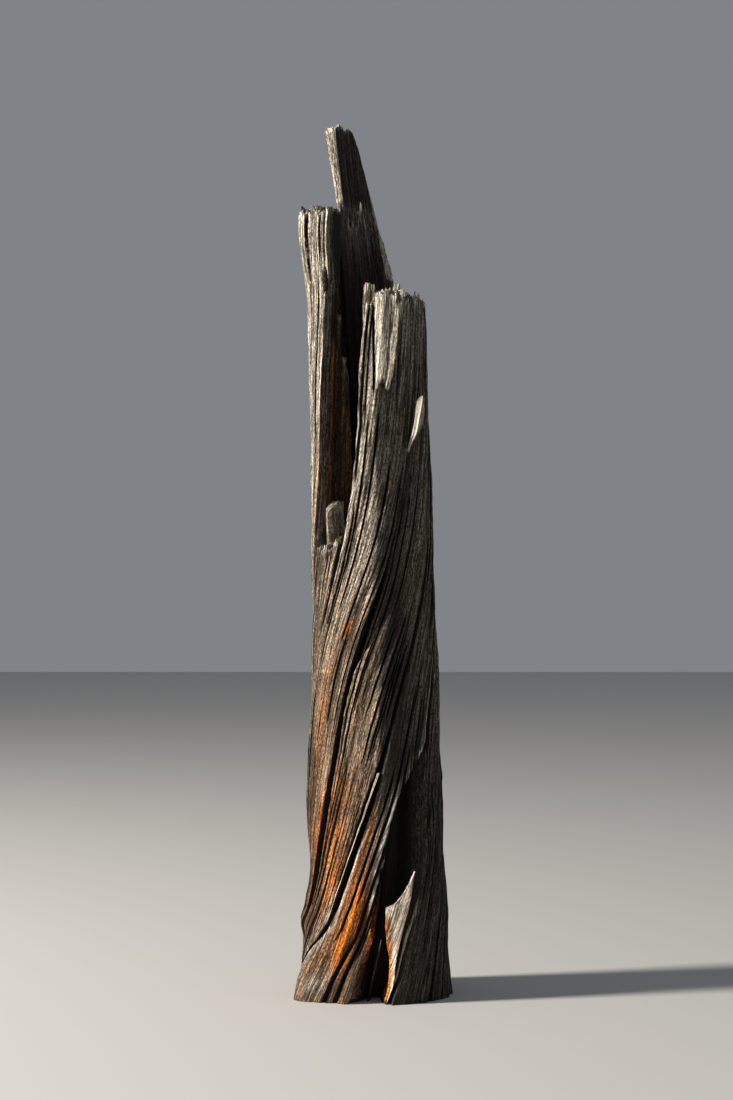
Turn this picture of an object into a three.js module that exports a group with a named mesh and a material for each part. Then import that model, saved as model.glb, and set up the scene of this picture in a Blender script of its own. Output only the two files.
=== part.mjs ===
// A standing dead pine trunk with spiral grain, in millimetres, +Z up, +Y away from the viewer.
// The trunk has split along its grain into staves round a core of heartwood. Each stave winds up the trunk
// and is snapped off at its own height. The staves' upper halves are the wall of a hollow, open to the front.
// A place on the trunk is given by its grain angle, its distance from the centre line and its height.
// The grain angle is 0 along the widest crack and grows to the right as the front is seen.
import * as THREE from "three";

const DEG = Math.PI / 180;
const METRE = 1000;

// Heights above the ground
const TIP = 3500;
const BACK_RIM = 3150;
const LINING_RIM = 3140;
const LEFT_RIM = 3115;
const FRONT_RIM = 2795;
const RIGHT_RIM = 2765;
const BROKEN_RIM = 1790;
const HOLLOW_FLOOR = 1690;
const BASE_HOLLOW_TOP = 1010;

// Girth: the bare trunk's radius, and what the swelling towards the butt and the root flare add to it
const UPPER_RADIUS = 230;
const BUTT_SWELL = 42;
const BUTT_REACH = 1500;
const FLARE = 30;
const FLARE_REACH = 220;

// Lean of the centre line at the height of the front rim
const LEAN_LEFT = 38;
const LEAN_BACK = 24;

// Spiral grain: degrees turned to the right for each metre climbed, below and above the slackening
const TURN_LOW = 64;
const TURN_HIGH = 24;
const SLACKEN_HEIGHT = 2150;
const SLACKEN_REACH = 150;
const WAVER = 8;
const WAVER_HEIGHT = 1250;
const WAVER_REACH = 350;
const GRAIN_START = -94; // azimuth of grain angle 0 at the ground, from the front towards the right

// Wall and hollow
const CORE_RADIUS = 118;
const HOLLOW_RADIUS = 165;
const HOLLOW_WIDENS = [1600, 2000];
const SEAT = 0.35; // clearance between pieces that lie on each other
const CORE_SEAT = 0.9;
const LINING_SEAT = 0.8;
const CRACK_MOUTH = 11; // how far each side of a crack stands back at the bark side
const CRACK_FLOOR = 0.55; // share of the wall where a crack starts to open

// Root flares: azimuth, what each adds to the radius at the ground, half width and the height it fades over
const ROOTS = [
  { azimuth: -58, reach: 62, width: 16, fade: 260 },
  { azimuth: 158, reach: 58, width: 24, fade: 240 },
  { azimuth: -132, reach: 44, width: 22, fade: 230 },
];

// Swellings and dents: azimuth, height, how far each stands out, half width and half height
const SWELLINGS = [
  { azimuth: -88, height: 500, out: -20, width: 28, reach: 120 },
  { azimuth: -82, height: 295, out: 17, width: 20, reach: 45 },
  { azimuth: 92, height: 360, out: 10, width: 30, reach: 140 },
  { azimuth: -5, height: 245, out: -30, width: 14, reach: 130 },
];

// The ridge down the front: azimuth, how far it stands out, half width, and the heights it fades between
const FRONT_RIDGE = { azimuth: 4, out: 30, width: 20, rise: [450, 950], fall: [2350, 2650] };

const COMMON_STEP = 100;
const LOW_LEVELS = [0, 55, 120, 200];

const mix = (a, b, share) => a + (b - a) * share;
const clamp = (x, low, high) => Math.min(high, Math.max(low, x));
const bell = (x) => Math.exp(-x * x);

function smooth(from, to, x) {
  const share = clamp((x - from) / (to - from), 0, 1);
  return share * share * (3 - 2 * share);
}

// The value at x of a line through [place, value] pairs
function along(pairs, x) {
  const next = pairs.findIndex(([place]) => place >= x);
  if (next === 0) return pairs[0][1];
  if (next < 0) return pairs[pairs.length - 1][1];
  const [a, b] = [pairs[next - 1], pairs[next]];
  return mix(a[1], b[1], (x - a[0]) / (b[0] - a[0]));
}

// A fixed ragged number from -1 to 1 for each whole number
function ragged(seed, index) {
  const wave = Math.sin(index * 12.9898 + seed * 78.233) * 43758.5453;
  return 2 * (wave - Math.floor(wave)) - 1;
}

function turn(height) {
  const past = Math.log(1 + Math.exp((height - SLACKEN_HEIGHT) / SLACKEN_REACH)) * SLACKEN_REACH;
  const steady = (TURN_LOW * height - (TURN_LOW - TURN_HIGH) * past) / METRE;
  return GRAIN_START + steady - WAVER * bell((height - WAVER_HEIGHT) / WAVER_REACH);
}

function centre(height) {
  const lean = (height / FRONT_RIM) ** 2;
  return [-LEAN_LEFT * lean, LEAN_BACK * lean];
}

function apart(azimuth, other) {
  const turned = (azimuth - other) % 360;
  return turned > 180 ? turned - 360 : turned < -180 ? turned + 360 : turned;
}

function girth(azimuth, height) {
  const swell = BUTT_SWELL * bell(height / BUTT_REACH);
  const flare = FLARE * Math.exp(-height / FLARE_REACH);
  const rooted = ({ azimuth: at, reach, width, fade }) =>
    reach * bell(apart(azimuth, at) / width) * bell(height / fade);
  const swollen = ({ azimuth: at, height: level, out, width, reach }) =>
    out * bell(apart(azimuth, at) / width) * bell((height - level) / reach);
  const sum = (list, share) => list.reduce((total, entry) => total + share(entry), 0);
  const { azimuth: front, out: proud, width: half, rise, fall } = FRONT_RIDGE;
  const present = smooth(...rise, height) * (1 - smooth(...fall, height));
  const ridge = proud * present * Math.exp(-Math.abs(apart(azimuth, front)) / half);
  return UPPER_RADIUS + swell + flare + sum(ROOTS, rooted) + sum(SWELLINGS, swollen) + ridge;
}

// Long shallow furrows that follow the grain
function furrow(grain, height) {
  const drift = Math.sin(height / 430 + grain / 40);
  return 4 * Math.sin(grain * 0.25 + 0.9 * drift) + 3 * Math.sin(grain * 0.42 + 1.7 * drift + 2);
}

function wallInside(height) {
  const [start, end] = HOLLOW_WIDENS;
  return mix(CORE_RADIUS, HOLLOW_RADIUS, clamp((height - start) / (end - start), 0, 1));
}

// Where every stave's side faces bend outwards, so that neighbours' faces match
function crackDepth(height) {
  return mix(wallInside(height), UPPER_RADIUS + BUTT_SWELL * bell(height / BUTT_REACH), CRACK_FLOOR);
}

function point(grain, radius, height) {
  const azimuth = (grain + turn(height)) * DEG;
  const [x, y] = centre(height);
  return new THREE.Vector3(x + radius * Math.sin(azimuth), y - radius * Math.cos(azimuth), height);
}

// A closed mesh over a bent box. place(t, a, h) gives the point at shares t through, a across and h along.
function bentBox([through, across, rise], place) {
  const positions = [];
  const index = [];
  const seen = new Map();
  const counts = [through, across, rise];
  const vertex = (cell) => {
    const key = cell.join();
    if (!seen.has(key)) {
      seen.set(key, positions.length / 3);
      positions.push(...place(...cell.map((n, axis) => n / counts[axis]), cell));
    }
    return seen.get(key);
  };
  for (let axis = 0; axis < 3; axis++) {
    const [first, second] = [(axis + 1) % 3, (axis + 2) % 3];
    for (const side of [0, counts[axis]]) {
      for (let i = 0; i < counts[first]; i++) {
        for (let j = 0; j < counts[second]; j++) {
          const corner = (di, dj) => {
            const cell = [0, 0, 0];
            cell[axis] = side;
            cell[first] = i + di;
            cell[second] = j + dj;
            return vertex(cell);
          };
          const ring = [corner(0, 0), corner(1, 0), corner(1, 1), corner(0, 1)];
          // The diagonal of a face round the trunk leans against the spiral, which keeps the face round
          if (axis === 0) ring.push(ring.shift());
          const [a, b, c, d] = ring;
          if (side) index.push(a, b, c, a, c, d);
          else index.push(a, c, b, a, d, c);
        }
      }
    }
  }
  const geometry = new THREE.BufferGeometry();
  geometry.setAttribute("position", new THREE.Float32BufferAttribute(positions, 3));
  geometry.setIndex(index);
  geometry.computeVertexNormals();
  return geometry;
}

// Levels that all staves share, so that their side faces match. Each goes with the share of fraying at it.
function levelsTo(top, fray) {
  const levels = [...LOW_LEVELS];
  while (levels[levels.length - 1] + 1.4 * COMMON_STEP <= top) {
    levels.push(levels[levels.length - 1] + COMMON_STEP);
  }
  levels.push(top);
  return levels.map((level) => [level, clamp((level - top + fray) / fray, 0, 1)]);
}

// One stave of the wall. from and to are its edges' grain angles and rim its broken end, all as functions.
function stave({ from, to, top, rim, seed, ...own }) {
  const { outside = wholeBark, columns = 10, fray = 300, proud = 0, teeth = 16, thins = 0 } = own;
  const levels = levelsTo(top, fray);
  const place = (t, a, h, [layer, column, level]) => {
    const [common, frayed] = levels[level];
    const tooth = teeth * ragged(seed, column + 20 * layer);
    const height = common + frayed * (rim(a) + tooth - top);
    const middle = mix(from(height), to(height), 0.5);
    const reach = outside(middle, height);
    const edgeBark = outside(a < 0.5 ? from(height) + 1 : to(height) - 1, height);
    const inside = wallInside(height) + thins * (1 - a) ** 2 * smooth(...THINS, height);
    const bend = Math.max(Math.min(crackDepth(height), edgeBark - 12), inside + 2);
    const depth = [inside, bend, reach][layer];
    const back = SEAT / 2 + (layer === 2 ? CRACK_MOUTH : 0) + 5 * Math.sqrt(frayed);
    const grain = mix(from(height) + back / depth / DEG, to(height) - back / depth / DEG, a);
    const edge = smooth(0, 0.16, Math.min(a, 1 - a));
    const bark = Math.max(outside(grain, height) + proud - mix(14, 0, edge), inside + 6);
    return point(grain, layer === 2 ? bark : depth, height);
  };
  return bentBox([2, columns, levels.length - 1], place);
}

// Edges between the staves, as grain angles
const crackWide = () => 0;
const crackFront = (height) => mix(32, 50, smooth(200, 1500, height)) - 14 * (1 - smooth(60, 320, height));
const crackRight = () => 87;
const crackTall = (height) => 138 + 7 * smooth(2900, 3150, height) + 4.5 * smooth(3150, 3500, height);
const crackBack = () => 201;
const hollowLeft = (height) => 265.5 - 7 * smooth(1900, 2500, height) + 4 * smooth(2800, 2850, height);
const hollowRight = (height) => 311.5 - 12.5 * smooth(1700, 2600, height);

// The base hollow cuts into the right stave: the grain angle where it starts at each height, up to its top,
// and how near the centre line it reaches
const HOLLOW_LEFT_SIDE = [
  [250, 74],
  [320, 70],
  [450, 66],
  [620, 62.5],
  [830, 63],
  [950, 78],
  [BASE_HOLLOW_TOP, 88],
];
const HOLLOW_DEPTH = 132;

function wholeBark(grain, height) {
  return girth(grain + turn(height), height) + furrow(grain, height);
}

function rightStaveBark(grain, height) {
  const leftSide = along(HOLLOW_LEFT_SIDE, height);
  return mix(wholeBark(grain, height), HOLLOW_DEPTH, smooth(leftSide, leftSide + 7, grain));
}

function tallStaveLeftEdge(height) {
  return crackRight() + 17 * (1 - smooth(500, BASE_HOLLOW_TOP, height));
}

// Above the front rim the wall behind and on the left bends outwards
function bentBark(grain, height) {
  return wholeBark(grain, height) + 29 * smooth(2740, 3060, height) * smooth(165, 210, grain);
}

const TALL_RIM = [
  [0, 2885],
  [0.13, 3025],
  [0.22, 3138],
  [0.28, 3248],
  [0.325, 3325],
  [0.39, 3420],
  [0.47, 3480],
  [0.56, TIP],
  [1, TIP - 8],
];

// Heights between which the tall stave's inner face turns, so that the stave thins towards its sloping side
const THINS = [2990, 3130];

const FRONT_LEFT_RIM = [
  [0, 2730],
  [0.14, 2735],
  [0.2, FRONT_RIM - 5],
  [0.6, FRONT_RIM],
  [0.7, 2770],
  [1, 2765],
];

const STAVES = {
  front_left_stave: {
    from: (height) => hollowRight(height) - 360,
    to: crackWide,
    top: FRONT_RIM,
    rim: (a) => along(FRONT_LEFT_RIM, a),
    proud: 6,
    seed: 1,
    columns: 11,
  },
  front_stave: {
    from: crackWide,
    to: crackFront,
    top: RIGHT_RIM,
    rim: (a) => RIGHT_RIM - 30 * a * a,
    proud: -4,
    seed: 2,
  },
  right_stave: {
    from: crackFront,
    to: crackRight,
    top: RIGHT_RIM - 40,
    rim: (a) => RIGHT_RIM - 60 - 70 * Math.sin(3 * a),
    outside: rightStaveBark,
    seed: 3,
    columns: 11,
  },
  tall_stave: {
    from: tallStaveLeftEdge,
    to: crackTall,
    top: TIP,
    rim: (a) => along(TALL_RIM, a),
    fray: 800,
    seed: 4,
    columns: 11,
    teeth: 12,
    thins: 44,
  },
  back_stave: {
    from: crackTall,
    to: crackBack,
    top: BACK_RIM,
    rim: (a) => BACK_RIM - 25 + 20 * Math.sin(7 * a),
    outside: bentBark,
    seed: 5,
    columns: 12,
  },
  left_stave: {
    from: crackBack,
    to: hollowLeft,
    top: LEFT_RIM,
    rim: (a) => mix(BACK_RIM - 20, LEFT_RIM, smooth(0, 0.5, a)),
    outside: bentBark,
    seed: 6,
    columns: 12,
  },
  broken_stave: {
    from: hollowLeft,
    to: hollowRight,
    top: BROKEN_RIM,
    rim: (a) => BROKEN_RIM - 25 + 40 * a,
    proud: -6,
    seed: 7,
    columns: 9,
  },
};

function heartwood() {
  const columns = 30;
  const levels = levelsTo(HOLLOW_FLOOR, 100);
  const rings = levels.map(([common, frayed]) =>
    Array.from({ length: columns }, (_, n) => {
      const height = common + frayed * (60 * ragged(8, n) - 40);
      return point((360 * n) / columns, CORE_RADIUS - CORE_SEAT, height);
    }),
  );
  const middles = [point(0, 0, 0), point(0, 0, HOLLOW_FLOOR - 75)];
  const positions = [...rings.flat(), ...middles].flatMap((p) => p.toArray());
  const [bottom, floor] = [rings.length * columns, rings.length * columns + 1];
  const index = [];
  for (let n = 0; n < columns; n++) {
    const next = (n + 1) % columns;
    for (let ring = 0; ring < rings.length - 1; ring++) {
      const [low, high] = [ring * columns, (ring + 1) * columns];
      index.push(low + n, low + next, high + next, low + n, high + next, high + n);
    }
    const last = (rings.length - 1) * columns;
    index.push(bottom, next, n, floor, last + n, last + next);
  }
  const geometry = new THREE.BufferGeometry();
  geometry.setAttribute("position", new THREE.Float32BufferAttribute(positions, 3));
  geometry.setIndex(index);
  geometry.computeVertexNormals();
  return geometry;
}

// A slab of wood that follows the grain. Its edges and faces are functions of the share h of its height, the
// height itself and the shares a across or t through it. Its rows are spread evenly, or lie at the levels.
function slab({ bottom, top, rim = () => 0, left, right, inner, outer, seed, teeth = 10, counts, levels }) {
  const place = (t, a, h, [, column, row]) => {
    const ragging = smooth(0.7, 1, h) * (rim(a) + teeth * ragged(seed, column + 7 * t));
    const height = (levels ? levels[row] : mix(bottom, top, h)) + ragging;
    const grain = mix(left(h, height, t), right(h, height, t), a);
    return point(grain, mix(inner(h, a, height, grain), outer(h, a, height, grain), t), height);
  };
  return bentBox(counts, place);
}

// A thin strip standing in the mouth of a crack, with its rows at the staves' levels, which keeps it clear of
// them. Its half widths are those of its inner edge, in millimetres, and it widens outwards by the spread.
function strip({ bottom, top, halves, spread, at, seed }) {
  const half = (h, height, t) => (mix(...halves, h) * mix(1, spread, t)) / crackDepth(height) / DEG;
  const levels = levelsTo(top, 1).map(([level]) => level).filter((level) => level >= bottom);
  return {
    levels,
    left: (h, height, t) => at(height) - half(h, height, t),
    right: (h, height, t) => at(height) + half(h, height, t),
    inner: (h, a, height, grain) => mix(crackDepth(height), wholeBark(grain, height) - 14, 0.5),
    outer: (h, a, height, grain) => wholeBark(grain, height) + 9,
    seed,
    counts: [1, 2, levels.length - 1],
  };
}

const WEATHERED = { color: 0x8d8272, roughness: 0.92, metalness: 0 };
const FRESH_BREAK = { color: 0xb7ab98, roughness: 0.9, metalness: 0 };
const INNER_WOOD = { color: 0x5d3d24, roughness: 0.95, metalness: 0 };
const STAINED = { color: 0x8a6a48, roughness: 0.92, metalness: 0 };

const SHEET = 32; // thickness of the sheets in the hollow
const SLIVER_OUT = [
  [0, 12],
  [0.5, 60],
  [1, 52],
];

const SLABS = {
  // Wood left standing inside the hollow, in front of the tall stave
  back_lining: {
    bottom: 1700,
    top: LINING_RIM,
    rim: (a) => 14 * Math.sin(9 * a),
    left: (h, height) => mix(97, 112, smooth(2750, 3140, height)),
    right: () => 160,
    inner: (h) => mix(100, 142, smooth(0, 0.4, h)),
    outer: (h, a, height) => wallInside(height) - LINING_SEAT,
    seed: 11,
    look: INNER_WOOD,
    counts: [1, 6, 14],
  },
  // Two sheets along the left stave's inner side, the inner one snapped lower
  left_lining: {
    bottom: 1790,
    top: 2700,
    left: (h, height) => hollowLeft(height) - 22,
    right: (h, height) => hollowLeft(height) - 3.2,
    inner: (h, a, height) => wallInside(height) - SHEET,
    outer: (h, a, height) => wallInside(height) - LINING_SEAT,
    seed: 12,
    look: INNER_WOOD,
    counts: [1, 4, 10],
  },
  left_inner_sheet: {
    bottom: 1800,
    top: 2540,
    left: (h, height) => hollowLeft(height) - 20,
    right: (h, height) => hollowLeft(height) - 5,
    inner: (h, a, height) => wallInside(height) - along([[0, 66], [0.4, 84], [1, 70]], h),
    outer: (h, a, height) => wallInside(height) - SHEET - 1.3,
    seed: 13,
    look: INNER_WOOD,
    counts: [1, 3, 9],
  },
  // The plank left standing behind the broken stave's rim. Above the rim it is thin and reaches further out.
  hollow_stump: {
    bottom: 1714,
    top: 1958,
    rim: (a) => -12 * (2 * a - 1) ** 2,
    left: (h, height) => hollowLeft(height) + 2,
    right: (h, height) => hollowLeft(height) + mix(24, 10, smooth(0.2, 0.38, h)),
    inner: (h) => mix(96, 132, smooth(0.4, 0.8, h)),
    outer: (h, a, height) => wallInside(height) - LINING_SEAT + 56 * smooth(0.38, 0.43, h),
    seed: 14,
    teeth: 8,
    counts: [1, 3, 16],
  },
  // The raised layer that catches the light below the front rim
  front_slab: {
    bottom: 2385,
    top: FRONT_RIM - 12,
    left: (h) => mix(-43.5, -52, h),
    right: (h) => mix(-31, -23.5, h),
    inner: (h, a, height, grain) => wholeBark(grain, height) + 8.6,
    outer: (h, a, height, grain) => wholeBark(grain, height) + 8.6 + mix(3, 52, a) * smooth(-0.3, 0.25, h),
    seed: 15,
    counts: [1, 6, 5],
  },
  rim_block: {
    bottom: 2600,
    top: 2826,
    rim: (a) => -16 * (2 * a - 1) ** 2,
    left: (h) => mix(-60.5, -64, smooth(0, 0.6, h)),
    right: () => -45.5,
    inner: (h) => mix(161, 150, smooth(0, 0.5, h)),
    outer: () => HOLLOW_RADIUS - LINING_SEAT,
    seed: 16,
    teeth: 8,
    counts: [1, 2, 5],
  },
  // A splinter peeling off the front stave where the wide crack ends
  crack_sliver: {
    bottom: 2160,
    top: 2352,
    rim: (a) => 12 * a,
    left: (h) => mix(0.8, 6, h),
    right: (h) => mix(2.2, 9, h),
    inner: (h, a, height, grain) => wholeBark(grain, height) - mix(2.4, 5.7, h),
    outer: (h, a, height, grain) => wholeBark(grain, height) + mix(3, along(SLIVER_OUT, h), a),
    seed: 19,
    teeth: 4,
    counts: [1, 3, 4],
  },
  // A thin strip standing in the crack beside the front stave
  crack_lath: strip({ bottom: 300, top: 900, halves: [3, 1.6], spread: 2, at: crackFront, seed: 20 }),
  // A pale triangle of wood standing in the base hollow
  base_wedge: {
    bottom: 0,
    top: 375,
    rim: (a) => 130 * a ** 2.2,
    left: (h, height) => along([[0, 100], [60, 100.5], [180, 93], [220, 89], [300, 82], [380, 78]], height),
    right: (h, height) => along([[0, 103.5], [60, 103.1], [180, 98], [300, 96.4], [508, 93.3]], height),
    inner: (h, a) => mix(150, mix(262, 284, a), smooth(0, 0.3, h)),
    outer: (h, a) => mix(286, 304, a),
    seed: 17,
    teeth: 4,
    counts: [1, 4, 8],
  },
  base_stub: {
    bottom: 0,
    top: 240,
    left: () => 83.2,
    right: () => 86,
    inner: (h, a) => mix(HOLLOW_DEPTH - mix(-1.5, 7, a), 200, smooth(0, 0.6, h)),
    outer: () => 226,
    seed: 18,
    look: STAINED,
    teeth: 5,
    counts: [1, 2, 4],
  },
};

const trunk = new THREE.Group();

function add(name, geometry, look) {
  const mesh = new THREE.Mesh(geometry, new THREE.MeshStandardMaterial({ ...look, flatShading: true }));
  mesh.name = name;
  trunk.add(mesh);
}

add("heartwood", heartwood(), INNER_WOOD);
for (const [name, spec] of Object.entries(STAVES)) add(name, stave(spec), WEATHERED);
for (const [name, spec] of Object.entries(SLABS)) add(name, slab(spec), spec.look ?? FRESH_BREAK);

export default trunk;
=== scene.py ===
"""Shows a standing dead pine trunk with spiral grain, split into staves round a heart of rotten wood.

The shapes follow the same named sizes as the solid model, in millimetres, with the relief of weathered
wood on top: fibres, drying cracks, frayed rims and decayed inner faces. A place on the trunk is given by
its grain angle in degrees, its distance from the centre line and its height. The grain angle is 0 along
the widest crack and grows to the right as the front is seen.
"""

import math
from types import SimpleNamespace

import bpy
import numpy as np
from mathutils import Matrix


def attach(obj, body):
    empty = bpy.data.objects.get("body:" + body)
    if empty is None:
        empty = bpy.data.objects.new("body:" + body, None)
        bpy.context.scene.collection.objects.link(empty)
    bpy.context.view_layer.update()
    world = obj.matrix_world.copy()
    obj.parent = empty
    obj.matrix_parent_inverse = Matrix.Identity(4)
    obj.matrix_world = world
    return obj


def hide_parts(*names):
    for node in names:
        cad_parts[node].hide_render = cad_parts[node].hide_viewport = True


bl_info = {
    "name": "Standing dead tree trunk",
    "version": (1, 0, 0),
    "blender": (4, 5, 0),
    "location": "View3D > Sidebar > Dead tree",
    "description": "Builds a weathered, broken, hollow pine trunk round its solid model",
    "category": "Add Mesh",
}

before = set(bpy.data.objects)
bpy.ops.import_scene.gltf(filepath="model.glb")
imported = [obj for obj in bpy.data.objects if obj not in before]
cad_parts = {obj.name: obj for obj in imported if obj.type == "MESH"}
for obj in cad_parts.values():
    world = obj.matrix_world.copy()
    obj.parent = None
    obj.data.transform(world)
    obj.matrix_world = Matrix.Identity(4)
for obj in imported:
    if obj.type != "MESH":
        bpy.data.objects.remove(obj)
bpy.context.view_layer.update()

MILLIMETRE = 0.001

# Heights above the ground, in millimetres like every length up to the making of a mesh
TIP = 3500
BACK_RIM = 3150
LINING_RIM = 3140
LEFT_RIM = 3115
FRONT_RIM = 2795
RIGHT_RIM = 2765
BROKEN_RIM = 1790
HOLLOW_FLOOR = 1690
BASE_HOLLOW_TOP = 1010

# Girth
UPPER_RADIUS = 230
BUTT_SWELL = 42
BUTT_REACH = 1500
FLARE = 30
FLARE_REACH = 220
# Azimuth, how far each root reaches, half width and the height it fades over
ROOTS = [(-58, 62, 16, 260), (158, 58, 24, 240), (-132, 44, 22, 230)]
# Azimuth, height, how far each swelling stands out, half width and half height
SWELLINGS = [
    (-88, 500, -20, 28, 120),
    (-82, 295, 17, 20, 45),
    (92, 360, 10, 30, 140),
    (-5, 245, -30, 14, 130),
]
# The sharp ridge down the front: azimuth, how far it stands out, half width, and the heights over which it
# rises and over which it ends
FRONT_RIDGE = (4, 30, 20, (450, 950), (2350, 2650))

# Lean at the height of the front rim
LEAN_LEFT = 38
LEAN_BACK = 24

# The spiral: its turn in degrees a metre, low down and high up, the height where it slackens and over how
# much, and a slow waver in the lower half
TURN_LOW = 64
TURN_HIGH = 24
SLACKEN_HEIGHT = 2150
SLACKEN_REACH = 150
WAVER = 8
WAVER_HEIGHT = 1250
WAVER_REACH = 350
# Azimuth of the widest crack at the ground
GRAIN_START = -94

# Radii of the rotten heart and of the hollow above it, and the heights between which the one widens into
# the other
CORE_RADIUS = 118
HOLLOW_RADIUS = 165
HOLLOW_WIDENS = (1600, 2000)
# Cracks between the staves: the gap at their floor, how much wider they are at the bark, and how far out
# between the wall's inner face and the bark their floor lies
SEAT = 0.35
CRACK_MOUTH = 11
CRACK_FLOOR = 0.55
# The hollow at the base: the radius of its floor and its torn left border, as height and grain angle
HOLLOW_DEPTH = 132
HOLLOW_LEFT_SIDE = [(250, 74), (320, 70), (450, 66), (620, 62.5), (830, 63), (950, 78)]
HOLLOW_LEFT_SIDE += [(BASE_HOLLOW_TOP, 88)]
# Its border is broken off in two layers, which take these shares of its depth, and has a lip that stands
# out by so much between these heights
BROKEN_LAYERS = (0.38, 0.62)
BORDER_LIP = 9
LIP_BEGINS = (330, 420)
LIP_ENDS = (900, 990)
# The tall stave's broken rim: share of its width, height
TALL_RIM = [(0, 2885), (0.13, 3025), (0.22, 3138), (0.28, 3248), (0.325, 3325), (0.39, 3420), (0.47, 3480)]
TALL_RIM += [(0.56, TIP), (1, TIP - 8)]
# Heights between which the tall stave's inner face turns, so that the stave thins towards its sloping side
THINS = (2990, 3130)
# Above the front rim the wall bends outwards: by how much, over what heights, and over what grain angles
# the bend sets in
BEND_OUT = 29
BEND_HEIGHTS = (2740, 3060)
BEND_GRAINS = (165, 210)
# The lens-shaped layer by the widest crack: height and grain angle of its top, how fast its border falls
# away from there, how deep the wood above it lies, and where that depth comes and goes
LENS_TOP = 1365
LENS_GRAIN = 10
LENS_FALL = 0.8
LENS_THICKNESS = 20
LENS_STEP = 40
LENS_FADES = (2100, 2500)
LENS_GRAINS = (9, 22)

# Radii at which the widths of the staves, the slabs and the heart are measured, and at which the grain is
# laid out for the materials
STAVE_ARC = 245
SLAB_ARC = 230
GRAIN_ARC = 240
# Edges of a mesh that bend by more degrees than this stay sharp
SHARP_ANGLE = 52
# Far enough apart that no two pieces share a pattern
SEED_STEP = 40


# Curves


def mix(a, b, share):
    return a + (b - a) * share


def bell(x):
    return np.exp(-np.square(x))


def smooth(start, end, x):
    share = np.clip((x - start) / (end - start), 0, 1)
    return share * share * (3 - 2 * share)


def within(low, high, fade, x):
    """1 between low and high and 0 beyond them, fading over that length inside either end."""
    return smooth(low, low + fade, x) * (1 - smooth(high - fade, high, x))


def between(height, ranges, fade=60):
    """The sum of ranges of the height: a lower end, an upper end and, where it isn't 1, a strength."""
    total = 0 * height
    for low, high, *strength in ranges:
        inside = smooth(low - fade / 3, low + fade, height) * (1 - smooth(high - fade, high, height))
        total = total + inside * (strength[0] if strength else 1)
    return total


def along(pairs, x):
    places, values = zip(*pairs)
    return np.interp(x, places, values)


def apart(azimuth, other):
    return (azimuth - other + 180) % 360 - 180


def turn(height):
    """Azimuth of the widest crack at a height."""
    past = np.logaddexp(0, (height - SLACKEN_HEIGHT) / SLACKEN_REACH) * SLACKEN_REACH
    steady = (TURN_LOW * height - (TURN_LOW - TURN_HIGH) * past) * MILLIMETRE
    return GRAIN_START + steady - WAVER * bell((height - WAVER_HEIGHT) / WAVER_REACH)


def girth(azimuth, height):
    """Radius of the trunk, with its roots, its swellings and the ridge down its front."""
    radius = UPPER_RADIUS + BUTT_SWELL * bell(height / BUTT_REACH) + FLARE * np.exp(-height / FLARE_REACH)
    for at, reach, width, fade in ROOTS:
        radius = radius + reach * bell(apart(azimuth, at) / width) * bell(height / fade)
    for at, level, out, width, reach in SWELLINGS:
        radius = radius + out * bell(apart(azimuth, at) / width) * bell((height - level) / reach)
    at, out, width, rise, fall = FRONT_RIDGE
    present = smooth(*rise, height) * (1 - smooth(*fall, height))
    return radius + out * present * np.exp(-np.abs(apart(azimuth, at)) / width)


def furrow(grain, height):
    """Broad furrows along the grain, as two waves across it that drift as they rise."""
    drift = np.sin(height / 430 + grain / 40)
    return 4 * np.sin(grain * 0.25 + 0.9 * drift) + 3 * np.sin(grain * 0.42 + 1.7 * drift + 2)


def wall_inside(height):
    """Radius of the wall's inner face."""
    return mix(CORE_RADIUS, HOLLOW_RADIUS, along([(HOLLOW_WIDENS[0], 0), (HOLLOW_WIDENS[1], 1)], height))


def crack_depth(height):
    """Radius of the floor of the cracks between the staves."""
    return mix(wall_inside(height), UPPER_RADIUS + BUTT_SWELL * bell(height / BUTT_REACH), CRACK_FLOOR)


def whole_bark(grain, height):
    """Radius of the trunk's face where nothing is broken off it."""
    return girth(grain + turn(height), height) + furrow(grain, height)


def bent_bark(grain, height):
    """Above the front rim the wall behind and on the left bends outwards."""
    bend = BEND_OUT * smooth(*BEND_HEIGHTS, height) * smooth(*BEND_GRAINS, grain)
    return whole_bark(grain, height) + bend


def right_bark(grain, height):
    """The right stave is cut away, in two broken layers, where the base hollow opens."""
    first, second = BROKEN_LAYERS
    start = along(HOLLOW_LEFT_SIDE, height) + (2.1 * waver(height, 46, 5) + 1.2 * waver(height, 15, 6))
    behind = start + (4 + 1.5 * waver(height, 120, 7))
    cut = first * smooth(start, start + 1.6, grain) + second * smooth(behind, behind + 2.2, grain)
    lip = BORDER_LIP * bell((grain - start + 1.8) / 1.7) * smooth(*LIP_BEGINS, height)
    lip = lip * (1 - smooth(*LIP_ENDS, height))
    return mix(whole_bark(grain, height) + lip, HOLLOW_DEPTH, cut)


def front_bark(grain, height):
    """Above the lens-shaped layer by the wide crack, the wood right of the crack lies deeper."""
    layer_top = LENS_TOP - LENS_FALL * np.square(grain - LENS_GRAIN)
    deeper = LENS_THICKNESS * smooth(layer_top, layer_top + LENS_STEP, height)
    deeper = deeper * (1 - smooth(*LENS_FADES, height))
    return whole_bark(grain, height) - deeper * (1 - smooth(*LENS_GRAINS, grain))


def beside_hollow(grain, height):
    """1 on the torn left border of the base hollow, and 0 away from it."""
    return bell((grain - along(HOLLOW_LEFT_SIDE, height) + 2) / 3.5) * smooth(*LIP_BEGINS, height)


def point(grain, radius, height):
    """Points in metres for arrays of places on the trunk."""
    azimuth = np.radians(grain + turn(height))
    lean = np.square(height / FRONT_RIM)
    x = radius * np.sin(azimuth) - LEAN_LEFT * lean
    y = LEAN_BACK * lean - radius * np.cos(azimuth)
    return np.stack([x, y, height + 0 * x], axis=-1) * MILLIMETRE


# Relief


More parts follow.
